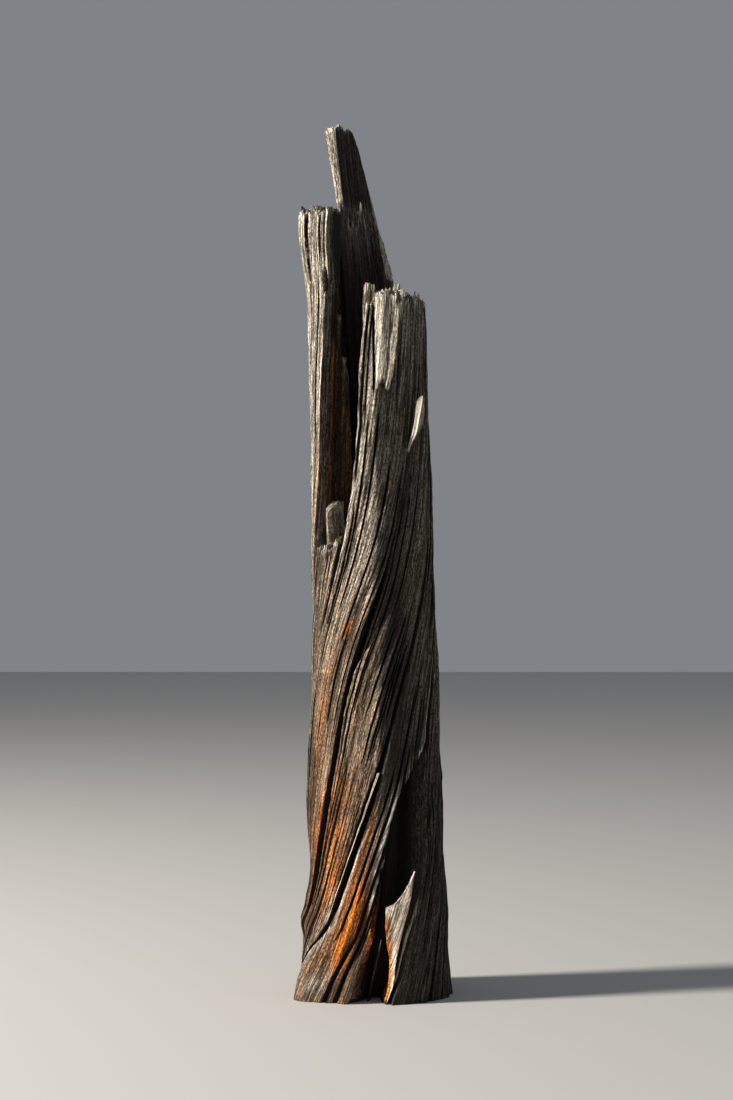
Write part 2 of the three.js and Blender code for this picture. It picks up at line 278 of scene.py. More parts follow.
def scattered(i, j, seed):
    """A fixed random number from -1 to 1 for each pair of whole numbers."""
    mixed = i.astype(np.int64) * 374761393 + j.astype(np.int64) * 668265263
    mixed = (mixed + seed * 974634777) & 0xFFFFFFFF
    mixed = ((mixed ^ (mixed >> 13)) * 1274126177) & 0xFFFFFFFF
    mixed = ((mixed ^ (mixed >> 16)) * 2246822519) & 0xFFFFFFFF
    return ((mixed ^ (mixed >> 15)) & 0xFFFFFF) / 0x7FFFFF - 1


def streaks(across, up, width, length, seed):
    """Smooth noise from -1 to 1 in spots of that width across the grain and that length along it."""
    x = across / width + 0.37 * seed
    y = up / length + 0.61 * seed
    i, j = np.floor(x), np.floor(y)
    fx, fy = x - i, y - j
    fx, fy = fx * fx * (3 - 2 * fx), fy * fy * (3 - 2 * fy)
    low = mix(scattered(i, j, seed), scattered(i + 1, j, seed), fx)
    high = mix(scattered(i, j + 1, seed), scattered(i + 1, j + 1, seed), fx)
    return mix(low, high, fy)


def waver(up, length, seed):
    """The same noise along the grain only."""
    return streaks(0 * up, up, 1, length, seed)


def grooves(across, up, width, length, narrow, seed):
    """Sharp lines from 0 to 1 that wander along the grain, about that width apart."""
    return np.exp(-np.abs(streaks(across, up, width, length, seed)) / narrow)


def weathering(across, up, seed):
    """How far weathered wood stands out: ribs, sharp grooves between them and plates that lift off."""
    drifted = across + 9 * streaks(across, up, 90, 600, seed + 9)
    ribs = streaks(drifted, up, 52, 1400, seed)
    strength = 0.6 + 0.9 * streaks(across, up, 70, 500, seed + 6)
    deep = np.clip(grooves(drifted, up, 30, 900, 0.1, seed + 1) * strength, 0, 1.2)
    fine = grooves(drifted, up, 9, 380, 0.3, seed + 2)
    hairs = streaks(drifted, up, 4.4, 60, seed + 3)
    flakes = streaks(drifted, up, 7, 26, seed + 7)
    plate = streaks(drifted, up, 34, 520, seed + 4) + 0.35 * streaks(drifted, up, 7, 60, seed + 5)
    plates = smooth(0.1, 0.17, plate) + smooth(0.48, 0.55, plate)
    return 2.2 * ribs - 8 * deep - 1.5 * fine + 0.8 * hairs + flakes + 1.6 * plates


def decay(across, up, seed):
    """How far the rotten inner faces stand out: deep soft ribs along the grain with crumbled pits."""
    ribs = 1 - 2 * np.abs(streaks(across, up, 24, 520, seed + 1))
    fine = 1 - 2 * np.abs(streaks(across, up, 9, 210, seed + 2))
    pits = streaks(across, up, 13, 26, seed + 3)
    return 4.5 * ribs + 2.2 * fine + 1.6 * pits


def steps(across, width, seed):
    """Steps of random height from -1 to 1, each about that wide."""
    cell = np.floor(across / width + 0.6 * streaks(across, 0 * across, 2 * width, 1, seed))
    return scattered(cell, 0 * cell, seed)


def fibres(across, seed):
    """How far the broken ends of the fibres stand above or below the rim."""
    ends = 13 * streaks(across, 0 * across, 30, 1, seed)
    ends = ends + 13 * steps(across, 15, seed + 3) + 14 * steps(across, 6.5, seed + 1)
    return ends + 6 * streaks(across, 0 * across, 2.6, 1, seed + 2) - 10


# Meshes


def bent_box(counts, place):
    """Vertices, quads and attributes of a closed bent box of so many faces through, across and up.

    place takes the indices of the vertices in those three directions.
    """
    shape = tuple(count + 1 for count in counts)
    cells = np.indices(shape).reshape(3, -1)
    limits = np.array(counts)[:, None]
    cells = cells[:, np.any((cells == 0) | (cells == limits), axis=0)]
    ids = np.full(shape, -1)
    ids[tuple(cells)] = np.arange(cells.shape[1])
    quads = []
    for axis in range(3):
        for side in (0, -1):
            face = np.take(ids, side, axis=axis)
            ring = [face[:-1, :-1], face[1:, :-1], face[1:, 1:], face[:-1, 1:]]
            if (side == 0) != (axis == 1):
                ring.reverse()
            quads.append(np.stack(ring, axis=-1).reshape(-1, 4))
    vertices, attributes = place(*cells)
    return vertices, np.concatenate(quads), attributes


def make_mesh(name, vertices, quads, attributes, material):
    """An object in the scene, with the attributes that its material reads."""
    mesh = bpy.data.meshes.new(name)
    mesh.vertices.add(len(vertices))
    mesh.vertices.foreach_set("co", vertices.astype(np.float32).ravel())
    mesh.loops.add(quads.size)
    mesh.loops.foreach_set("vertex_index", quads.astype(np.int32).ravel())
    mesh.polygons.add(len(quads))
    mesh.polygons.foreach_set("loop_start", np.arange(0, quads.size, 4, dtype=np.int32))
    mesh.update(calc_edges=True)
    for key, values in attributes.items():
        kind, field = ("FLOAT_VECTOR", "vector") if values.ndim == 2 else ("FLOAT", "value")
        layer = mesh.attributes.new(key, kind, "POINT")
        layer.data.foreach_set(field, values.astype(np.float32).ravel())
    mesh.validate()
    mesh.materials.append(material)
    mesh.shade_smooth()
    mesh.set_sharp_from_angle(angle=math.radians(SHARP_ANGLE))
    piece = bpy.data.objects.new(name, mesh)
    bpy.context.scene.collection.objects.link(piece)
    return piece


def place_piece(piece, node):
    """The piece stands for its solid and rides on the trunk."""
    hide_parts(node)
    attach(piece, "root")


def grain_vector(grain, depth, height):
    """Places for the materials, in metres: across the grain, in from the surface and along the grain."""
    return np.stack([np.radians(grain) * GRAIN_ARC, depth, height + 0 * depth], axis=-1) * MILLIMETRE


# Stains: grain angle, height, half width in degrees, half height, strength
STAINS = [
    (54, 285, 7, 120, 2.4),
    (51, 420, 3, 110, 0.9),
    (24, 430, 6, 120, 1.1),
    (73, 330, 2.6, 110, 2.6),
    (0, 650, 7, 220, 0.7),
    (16, 640, 9, 170, 0.45),
    (-16.5, 1468, 2.4, 27, 2.6),
    (-24, 1100, 5, 220, 0.5),
    (44, 560, 4, 200, 0.7),
    (-30, 420, 14, 240, 0.5),
    (97, 200, 9, 130, 0.8),
    (84, 950, 3, 30, 1.2),
    (262, 2350, 3, 400, 0.4),
]
# Where the wood is bleached low down: the borders of the crack that runs down to the foot
BLEACHED = [
    (28.5, 290, 3, 130, 0.8),
    (18, 150, 5, 90, 0.9),
    (26, 130, 3, 80, 0.8),
    (42, 70, 9, 50, 0.45),
]
# Where painted shade darkens it in a recess
SHADED_RECESSES = [
    (65, 200, 5.5, 150, 0.9),
    (60, 60, 12, 50, 0.6),
    (4, 330, 4, 60, 0.5),
]
# The middle of the side of the trunk that is painted in shade, the side turned from the light, as azimuth,
# half its width, and the heights over which its border goes from sharp to soft and its strength eases
SHADE_SIDE = 85
SHADE_SIDE_HALF = 83
SHADE_SIDE_SOFTENS = (1300, 1900)
SHADE_SIDE_EASES = (700, 1500)


def shade_side_at(grain, height):
    """1 on the side of the trunk that is painted in shade, away from the light, and 0 on the lit side."""
    aside = np.abs(apart(grain + turn(height), SHADE_SIDE))
    border = SHADE_SIDE_HALF + 2.5 * streaks(grain * 4, height, 14, 120, 77)
    soft = mix(4, 14, smooth(*SHADE_SIDE_SOFTENS, height))
    strength = mix(1, 0.8, smooth(*SHADE_SIDE_EASES, height))
    return (1 - smooth(border - soft, border + soft, aside)) * strength


def patches(places, grain, height):
    """How strongly the nearest of the places marks the wood there."""
    near = 0 * (grain + height)
    for at, level, width, reach, strength in places:
        near = np.maximum(near, strength * bell(apart(grain, at) / width) * bell((height - level) / reach))
    return near


def stain_at(grain, height):
    return patches(STAINS, grain, height)


# The staves' edges, as grain angles


def crack_wide(height):
    return 0 * height


def crack_front(height):
    return mix(32, 50, smooth(200, 1500, height)) - 14 * (1 - smooth(60, 320, height))


def crack_right(height):
    return 87 + 0 * height


def crack_tall(height):
    return 138 + 7 * smooth(2900, 3150, height) + 4.5 * smooth(3150, 3500, height)


def crack_back(height):
    return 201 + 0 * height


def hollow_left(height):
    return 265.5 - 7 * smooth(1900, 2500, height) + 4 * smooth(2800, 2850, height)


def hollow_right(height):
    return 311.5 - 12.5 * smooth(1700, 2600, height)


def tall_left(height):
    return 87 + 17 * (1 - smooth(500, BASE_HOLLOW_TOP, height))


# What a stave's entry says beside its two edges, its top, its rim as (share of its width, height), its seed
# and its drying cracks (checks), which are (grain angle, lower end, upper end, width, depth). A range of
# heights is (lower end, upper end), with a strength as its third value where that isn't 1.
STAVE_DEFAULTS = {
    # Its face before weathering, and how far it stands out from that
    "bark": whole_bark,
    "proud": 0,
    # The height over which its rows take up the rim's outline, and how ragged the rim is
    "rim_reach": 300,
    "rim_fray": 1,
    # How much it thins to the left near its top, and whether its inner face up there is smoothed and
    # darkened by painted shade
    "thins": 0,
    "planed": 0,
    # Where a side face shows, how torn such a face is, how fast painted shade darkens it inwards, and the
    # least painted shade that it has
    "bare_left": (),
    "bare_right": (),
    "torn": 1,
    "bare_tone": 0.1,
    "bare_dark": 0,
    # Where a crack gapes further, with by how much as the third value, and where its border has a painted
    # highlight
    "wide_left": (),
    "wide_right": (),
    "highlight_left": (),
    "highlight_right": (),
    # Where a tan seam shows in the bare right side
    "tan_seam": (),
    # Open cracks and hollows: grain angle at a height, lower end, upper end, half width, depth, and the
    # height over which an end runs out
    "trenches": (),
}
STAVES = {
    "front_left_stave": {
        "left": lambda height: hollow_right(height) - 360,
        "right": crack_wide,
        "top": FRONT_RIM,
        "rim": [(0, 2730), (0.14, 2735), (0.2, 2790), (0.6, FRONT_RIM), (0.7, 2770), (1, 2765)],
        "proud": 6,
        "seed": 1,
        "bare_left": [(BROKEN_RIM, TIP)],
        "wide_right": [(250, 1450, -3), (1600, 2900, -6)],
        "highlight_left": [(1450, 2500, 0.9)],
        "bare_tone": 0.16,
        "trenches": [(lambda height: mix(-44.6, -53.2, (height - 2385) / 400), 2350, 2960, 4.5, 34, 80)],
        "checks": [(-14.5, 1060, 1480, 3, 24), (-33, 1500, 2350, 2, 18), (-24, 300, 1150, 3, 22)],
    },
    "front_stave": {
        "left": crack_wide,
        "right": crack_front,
        "top": RIGHT_RIM,
        "rim": [(0, 2765), (0.5, 2757), (1, 2735)],
        "bark": front_bark,
        "proud": -4,
        "seed": 2,
        "wide_left": [(250, 1450, -3), (1600, 2900, -6)],
        "wide_right": [(-100, 300, -5), (300, 940, 4), (960, 2900, -7)],
        "highlight_right": [(0, 420, 1.2), (860, 1030, 1.2)],
        "trenches": [(lambda height: crack_front(height) - 9.5, 930, 1500, 2.2, 20, 80)],
        "checks": [(36, 900, 1620, 2, 22), (19, 1500, 2600, 2, 18), (12, 240, 900, 2, 18)],
    },
    "right_stave": {
        "left": crack_front,
        "right": crack_right,
        "top": RIGHT_RIM - 40,
        "rim": [(0, 2705), (0.25, 2657), (0.5, 2635), (0.75, 2651), (1, 2695)],
        "bark": right_bark,
        "seed": 3,
        "bare_right": [(0, BASE_HOLLOW_TOP)],
        "wide_left": [(-100, 300, -5), (300, 940, 12), (960, 2900, -7)],
        "highlight_left": [(20, 800, 1.2)],
        "checks": [(58, 350, 1250, 3, 22), (67, 1050, 2300, 3, 22), (54, 1500, 2500, 2, 18)],
    },
    "tall_stave": {
        "left": tall_left,
        "right": crack_tall,
        "top": TIP,
        "rim": TALL_RIM,
        "rim_reach": 800,
        "rim_fray": 0.45,
        "thins": 44,
        "planed": 1,
        "seed": 4,
        "bare_left": [(-200, BASE_HOLLOW_TOP), (2720, 4000)],
        "bare_right": [(BACK_RIM, 4000)],
        "checks": [(112, 200, 1500, 3, 22), (124, 800, 2300, 3, 20)],
    },
    "back_stave": {
        "left": crack_tall,
        "right": crack_back,
        "top": BACK_RIM,
        "rim": [(0, 3125), (0.22, 3145), (0.45, 3125), (0.67, 3106), (0.9, 3126), (1, 3138)],
        "bark": bent_bark,
        "seed": 5,
        "checks": [(158, 300, 1800, 4, 24), (178, 1200, 2900, 4, 24)],
    },
    "left_stave": {
        "left": crack_back,
        "right": hollow_left,
        "top": LEFT_RIM,
        "rim": [(0, 3130), (0.25, 3124), (0.5, LEFT_RIM), (1, LEFT_RIM)],
        "bark": bent_bark,
        "seed": 6,
        "bare_right": [(BROKEN_RIM, TIP)],
        "highlight_right": [(1950, 2750, 0.8)],
        "bare_tone": 0.25,
        "bare_dark": 0.62,
        "torn": 0.3,
        "tan_seam": [(1900, 2620)],
        "trenches": [
            (lambda height: 232.3, 2740, 4200, 19, 55, 260),
            (lambda height: 245.5, 2880, 3600, 3, 26, 90),
            (lambda height: 253.4, 2890, 3600, 4.5, 32, 60),
            (lambda height: 258.4, 2890, 3600, 4.5, 32, 60),
            (lambda height: 258.8, 2770, 2890, 11, 14, 30),
        ],
        "checks": [(244, 1900, 3000, 1, 20), (218, 500, 2000, 4, 24)],
    },
    "broken_stave": {
        "left": hollow_left,
        "right": hollow_right,
        "top": BROKEN_RIM,
        "rim": [(0, 1765), (1, 1805)],
        "proud": -6,
        "seed": 7,
        "checks": [(285, 700, 1700, 2, 18)],
    },
}

# The height at which a stave's width is measured
STAVE_MIDDLE = 1400.0
# Faces through its thickness: in all, and those within the floor of the cracks beside it
LAYERS = 10
INNER_LAYERS = 4
# Columns of faces between a lane of drying cracks and the stave's edge, and between two lanes, and how many
# columns to either side a crack pushes aside
LANE_MARGIN = 6
LANE_SPACE = 4
LANE_REACH = 14
# The most that the end of a drying crack takes to run out
CRACK_END = 140
# Heights over which the strengths of wide cracks and of painted highlights on borders come and go
WIDE_FADE = 160
HIGHLIGHT_FADE = 200
# The layer of tan wood in the left stave's side face, by its radius
SEAM_RADIUS = 186

# How dark the wood is, from 0 to 1: painted shade in the base hollow and on the shaded side low down,
# darker low on the left, and painted shade beside the ridge on the front, where a layer is missing, and on
# a smooth inner face
BASE_HOLLOW_DARK = 0.92
SHADED_FOOT_DARK = 0.4
LEFT_FOOT_DARK = 0.55
LEE_DARK = 0.75
SUNK_DARK = 0.6
SHADE_INSIDE_DARK = 0.88
# Where these are: a depth, heights over which they come or go, azimuths over which the left foot's comes,
# and the lee's azimuth and half width
BASE_HOLLOW_CUT = 30
SHADED_FOOT_ENDS = (500, 1300)
LEFT_FOOT_BEGINS = (-45, -70)
LEE_AZIMUTH = 19
LEE_HALF = 15
LEE_BEGINS = (600, 900)
SHADED_ENDS = (1500, 2100)


def check_lanes(count, columns, rng):
    """Columns for that many lanes of drying cracks, well apart and clear of the edges."""
    lanes = []
    for column in rng.permutation(np.arange(LANE_MARGIN, columns - LANE_MARGIN + 1)):
        if len(lanes) < count and all(abs(column - other) > LANE_SPACE for other in lanes):
            lanes.append(int(column))
    return sorted(lanes)


def random_cracks(top, rng):
    """Drying cracks that follow each other up a lane: lower end, upper end, width and depth."""
    cracks = []
    start = rng.uniform(-200, 500)
    while start < top:
        length = rng.uniform(300, 1300)
        cracks.append((start, start + length, rng.uniform(0.5, 4), rng.uniform(8, 24)))
        start += length + rng.uniform(150, 900)
    return cracks


def crack_lanes(spec, columns, count, rng):
    """Columns with the drying cracks in them: those that the entry names, then random ones."""
    lanes = []
    for grain, low, high, gape, depth in spec["checks"]:
        middle = np.array((low + high) / 2)
        left, right = spec["left"](middle), spec["right"](middle)
        column = round(float((grain - left) / (right - left)) * columns)
        column = int(np.clip(column, LANE_MARGIN, columns - LANE_MARGIN))
        lanes.append((column, [(low, high, gape, depth)]))
    for column in check_lanes(count, columns, rng):
        if all(abs(column - other) > LANE_SPACE for other, _ in lanes):
            lanes.append((column, random_cracks(spec["top"], rng)))
    return lanes


def open_cracks(lanes, column, columns, height, width):
    """How deep the drying cracks are, how dark their painted shadow is, and what share of the width they
    push the wood aside.
    """
    gap, shadow, pull = np.zeros((3, len(column)))
    for lane, cracks in lanes:
        near = np.abs(column - lane) <= LANE_REACH
        aside = column[near] - lane
        offset = aside * width / columns
        for low, high, gape, depth in cracks:
            present = within(low, high, min(CRACK_END, (high - low) / 3), height[near])
            gap[near] += np.where(np.abs(aside) <= 1, depth * present, 0)
            shadow[near] += np.where(np.abs(aside) <= 2, np.minimum(depth / 14, 1) * present, 0)
            push = np.sign(offset) * gape / 2 * np.exp(-np.abs(offset) / 2.5 / gape)
            pull[near] += push * present / width
    return gap, shadow, pull


def cut_trenches(trenches, bark, grain, height, gap, shadow):
    """Adds the trenches to the depth of the cracks and to their painted shadow."""
    for line, low, high, half, depth, ramp in trenches:
        aside = np.radians(np.abs(grain - line(height))) * bark(grain, height)
        present = within(low, high, ramp, height)
        border = half * present
        gap += depth * present * (1 - smooth(border - 1, border + 1, aside))
        shadow += np.minimum(depth / 20, 1) * present * (1 - smooth(border + 0.5, border + 3, aside))


def side_opening(mouth, share_out, bared, wide, rough, torn):
    """How far a side face stands back from the stave's edge: the crack's mouth and the roughness in it."""
    back = mouth + share_out**1.3 * (CRACK_MOUTH * (1 - 0.7 * bared) + wide)
    back = back + share_out * (1.5 + rough) * (1 - 0.6 * bared) + bared * torn
    return np.maximum(back, SEAT / 2)


def shaded_at(bark, grain, height):
    """How dark the wood is for its place on the trunk: painted shade in the base hollow, in recesses, low
    on the shaded side and in the lee of the front ridge, and darker low on the left.
    """
    azimuth = apart(grain + turn(height), 0)
    cut = bark(grain, height) < whole_bark(grain, height) - BASE_HOLLOW_CUT
    shaded_foot = shade_side_at(grain, height) * (1 - smooth(*SHADED_FOOT_ENDS, height))
    left_foot = smooth(*LEFT_FOOT_BEGINS, azimuth) * (1 - smooth(*SHADED_ENDS, height))
    lee = bell((azimuth - LEE_AZIMUTH) / LEE_HALF) * smooth(*LEE_BEGINS, height)
    dark = np.maximum(np.where(cut, BASE_HOLLOW_DARK, 0), patches(SHADED_RECESSES, grain, height))
    dark = np.maximum(dark, SHADED_FOOT_DARK * shaded_foot)
    dark = np.maximum(dark, LEFT_FOOT_DARK * left_foot)
    return np.maximum(dark, LEE_DARK * lee * (1 - smooth(*SHADED_ENDS, height)))


def stave_dark(spec, at):
    """How dark a stave is: painted shade in its cracks, at its edges, in its grooves, on its inner and bare
    side faces, on its smoothed inner face, and for its place.
    """
    bare = np.where(at.share < 0.5, at.bared_left, at.bared_right)
    # Painted shade that deepens inwards on the inner faces of the hollow and on the side faces in the
    # cracks
    hollow_tone = mix(0.04, 0.008, smooth(HOLLOW_FLOOR, HOLLOW_FLOOR + 500, at.height))
    tone = np.where(at.innermost, hollow_tone, 0.09 * mix(1, spec["bare_tone"], bare))
    split = np.maximum((at.outer - at.radius) * tone, spec["bare_dark"] * bare * (1 - at.innermost))
    # Painted shade in the cracks and grooves, and in dark lines along the edges beside the cracks
    face = np.clip(at.gap / 6 - (at.relief + 1.5) / 7, at.shadow, 1)
    edges = np.exp(-at.from_left / 1.6) * (1 - at.bared_left)
    edges = edges + np.exp(-at.from_right / 1.6) * (1 - at.bared_right)
    bark = spec["bark"]
    # Painted shade on wood that lies sunk below the bark, where a layer is missing
    sunk = np.clip((whole_bark(at.grain, at.height) - bark(at.grain, at.height)) / LENS_THICKNESS, 0, 1)
    face = np.maximum(np.maximum(face, edges), SUNK_DARK * sunk)
    dark = np.where(at.shown, face, np.clip(split, 0, 1))
    # Painted shade on the smoothed inner face high up
    dark = np.where(at.innermost, np.maximum(dark, SHADE_INSIDE_DARK * at.planed), dark)
    return np.maximum(dark, shaded_at(bark, at.grain, at.height))


def stave_pale(spec, at):
    """How pale a stave's face is: bleached under its rim and on places of its own, with painted highlights
    at its cracks' borders and on the torn border of the base hollow.
    """
    rim = smooth(-34, -3, at.past_rim)
    rim = rim * (0.65 + 0.45 * streaks(at.from_left, at.height, 8, 30, at.seed + 8))
    # Painted highlights along the borders of the cracks
    edges = between(at.height, spec["highlight_left"], HIGHLIGHT_FADE) * np.exp(-at.from_left / 7)
    edges = edges + between(at.height, spec["highlight_right"], HIGHLIGHT_FADE) * np.exp(-at.from_right / 7)
    bleached = np.maximum(patches(BLEACHED, at.grain, at.height), 0.2 * smooth(2300, 2750, at.height))
    face = np.maximum(edges, bleached)
    # The torn border of the base hollow: pale broken wood, brightened further by a painted highlight
    if spec["bark"] is right_bark:
        torn = 0.85 + 0.4 * streaks(at.from_left, at.height, 6, 60, at.seed + 11)
        face = np.maximum(face, beside_hollow(at.grain, at.height) * torn)
    return np.maximum(rim, np.where(at.shown, face, 0))


def stave_marks(spec, at):
    """The attributes that a stave's material reads."""
    stain = stain_at(at.grain, at.height)
    seam = bell((at.radius - SEAM_RADIUS) / 9) * at.bared_right * between(at.height, spec["tan_seam"])
    # The fibre tips at the rim: pale broken wood, also painted as lit, and with the painted shade taken off
    # them
    tips = smooth(-9, 0, at.past_rim) * (0.75 + 0.35 * streaks(at.from_left, at.radius, 9, 9, at.seed + 12))
    dark = stave_dark(spec, at)
    # Less painted shade on the orange stains and on the tan seam
    cleared = np.where(at.shown & (at.gap <= 1), np.clip(stain - 0.8, 0, 1), 0)
    dark = dark * (1 - 0.6 * cleared)
    dark = np.where(at.shown, dark, dark * (1 - 0.8 * seam))
    dark = dark * (1 - 0.85 * tips)
    above = np.where(at.shown, 0, mix(1, 0.3, smooth(2500, 3100, at.height)))
    rot = np.clip(1 - (at.radius - at.inside) / 42, 0, 1) * above
    return {
        "grain": grain_vector(at.grain, np.where(at.shown, 0, at.face - at.radius), at.height),
        "dark": dark,
        "rot": rot * (1 - tips),
        "pale": np.clip(np.maximum(stave_pale(spec, at), tips), 0, 1),
        "stain": np.where(at.shown, stain, seam + stain * (1 - dark)),
        "damp": shade_side_at(at.grain, at.height),
    }


def stave_piece(name, spec, sizes, material):
    """One stave of the wall, from the ground to its broken rim, with its half of the cracks beside it."""
    spec = {**STAVE_DEFAULTS, **spec}
    seed, top, reach = spec["seed"] * SEED_STEP, spec["top"], spec["rim_reach"]
    left, right, bark = spec["left"], spec["right"], spec["bark"]
    middle = np.array(STAVE_MIDDLE)
    width = math.radians(float(right(middle) - left(middle))) * STAVE_ARC
    columns, rows = round(width / sizes.column), round(top / sizes.row)
    shares = np.linspace(0, 1, columns + 1)
    lanes = crack_lanes(spec, columns, sizes.checks, np.random.default_rng(seed))

    def place(layer, column, row):
        share = shares[column]
        from_left, from_right = share * width, (1 - share) * width
        level = row * top / rows
        past_rim = level - top
        slipped = np.clip((past_rim + reach) / reach, 0, 1)
        frayed = np.clip((past_rim + 120) / 120, 0, 1) ** 1.4
        chips = scattered(np.floor(from_left / 4.3 + 0.4 * layer), layer, seed + 13) * 11
        end = fibres(from_left + 1.5 * layer, seed) + 11 * streaks(from_left, layer * 8.0, 12, 17, seed + 7)
        end = end + chips * smooth(-30, 0, past_rim)
        raised = frayed * end * sizes.fray * spec["rim_fray"]
        height = level + slipped * (along(spec["rim"], share) - top) + raised

        wander = 0.5 * streaks(from_left, height, 80, 520, seed + 20)
        wander = wander * np.clip(8 * share * (1 - share), 0, 1)
        grain = mix(left(height), right(height), share) + wander
        relief = sizes.relief * weathering(from_left, height, seed)
        gap, shadow, pull = open_cracks(lanes, column, columns, height, width)
        cut_trenches(spec["trenches"], bark, grain, height, gap, shadow)

        bared_left = np.clip(between(height, spec["bare_left"]), 0, 1)
        bared_right = np.clip(between(height, spec["bare_right"]), 0, 1)
        worn = (1 - smooth(0, 0.05, share)) * (1 - bared_left)
        worn = worn + (1 - smooth(0, 0.05, 1 - share)) * (1 - bared_right)
        crest = bared_left * bell(from_left / 7) + bared_right * bell(from_right / 7)
        inside = wall_inside(height) + spec["thins"] * np.square(1 - share) * smooth(*THINS, height)
        face = bark(grain, height) + spec["proud"] - 3.5 * worn + 2.5 * crest
        outer = np.maximum(face + relief - gap, inside + 6)
        floor = np.minimum(crack_depth(height), np.maximum(face - 12, inside + 2))
        share_in = np.clip(layer / INNER_LAYERS, 0, 1)
        share_out = np.clip((layer - INNER_LAYERS) / (LAYERS - INNER_LAYERS), 0, 1)
        radius = mix(mix(inside, floor, share_in), outer, share_out)

        mouth = SEAT / 2 + 5 * np.sqrt(slipped)
        rough = 2.2 * streaks(radius, height, 14, 70, seed + 30)
        rough = rough + 1.4 * streaks(radius, height, 5, 24, seed + 31)
        torn = (3 + decay(radius, height, seed + 33)) * spec["torn"]
        wide_left = between(height, spec["wide_left"], WIDE_FADE)
        wide_right = between(height, spec["wide_right"], WIDE_FADE)
        back_left = side_opening(mouth, share_out, bared_left, wide_left, rough, torn)
        back_right = side_opening(mouth, share_out, bared_right, wide_right, -rough, torn)
        degree = np.degrees(1 / radius)
        grain = grain + pull * (right(height) - left(height))
        grain = grain + back_left * degree * np.exp(-from_left / 45)
        grain = grain - back_right * degree * np.exp(-from_right / 45)

        innermost = layer == 0
        planed = spec["planed"] * smooth(BACK_RIM - 60, BACK_RIM + 60, height)
        decayed = sizes.relief * decay(from_left, height, seed + 36) * smooth(1560, 1700, height)
        decayed = np.clip(decayed * (1 - 0.75 * planed), -8, 8)
        radius = radius + np.where(innermost, decayed, 0)
        at = SimpleNamespace(seed=seed, share=share, past_rim=past_rim)
        at.from_left, at.from_right = from_left, from_right
        at.grain, at.radius, at.height = grain, radius, height
        at.inside, at.face, at.outer, at.relief = inside, face, outer, relief
        at.gap, at.shadow, at.planed = gap, shadow, planed
        at.bared_left, at.bared_right = bared_left, bared_right
        at.innermost, at.shown = innermost, layer == LAYERS
        return point(grain, radius, height), stave_marks(spec, at)

    vertices, quads, attributes = bent_box((LAYERS, columns, rows), place)
    return make_mesh(name, vertices, quads, attributes, material)


# What a slab's entry says beside its lower and upper end, its four faces, its seed, how frayed its rim is
# and how rotten it is
SLAB_DEFAULTS = {
    # How far its rim stands above its upper end, at a share of its width
    "rim": lambda a: 0 * a,
    # How much lower its inner side ends, whether its lower end is torn, and whether its edges are sharp
    "slant": 0,
    "torn": 0,
    "sharp": 0,
    # How pale its face is, partly pale broken wood and partly painted highlight, how much painted shade
    # darkens its sides, and how much more painted shade darkens its right side
    "pale": 0,
    "sides": 0.3,
    "dark_right": 0,
    # How strong the orange band on its left is, and the painted shade high up, in the colours of the shaded
    # side
    "stain": 0,
    "shade_high_up": 0,
    # Whether its pattern is its own and not the trunk's, and how much deeper it is read at the right edge
    "own_grain": 0,
    "face": 0,
}
# How far a sheet or block stands off the wall that it lines, and the front slab's back off the bark
WALL_GAP = 0.8
SLAB_LIFT = 8.6
# The two edges of the wedge in the base hollow: height, grain angle
WEDGE_LEFT = [(0, 100), (60, 100.5), (180, 93), (220, 89), (300, 82), (380, 78)]
WEDGE_RIGHT = [(0, 103.5), (60, 103.1), (180, 98), (300, 96.4), (508, 93.3)]

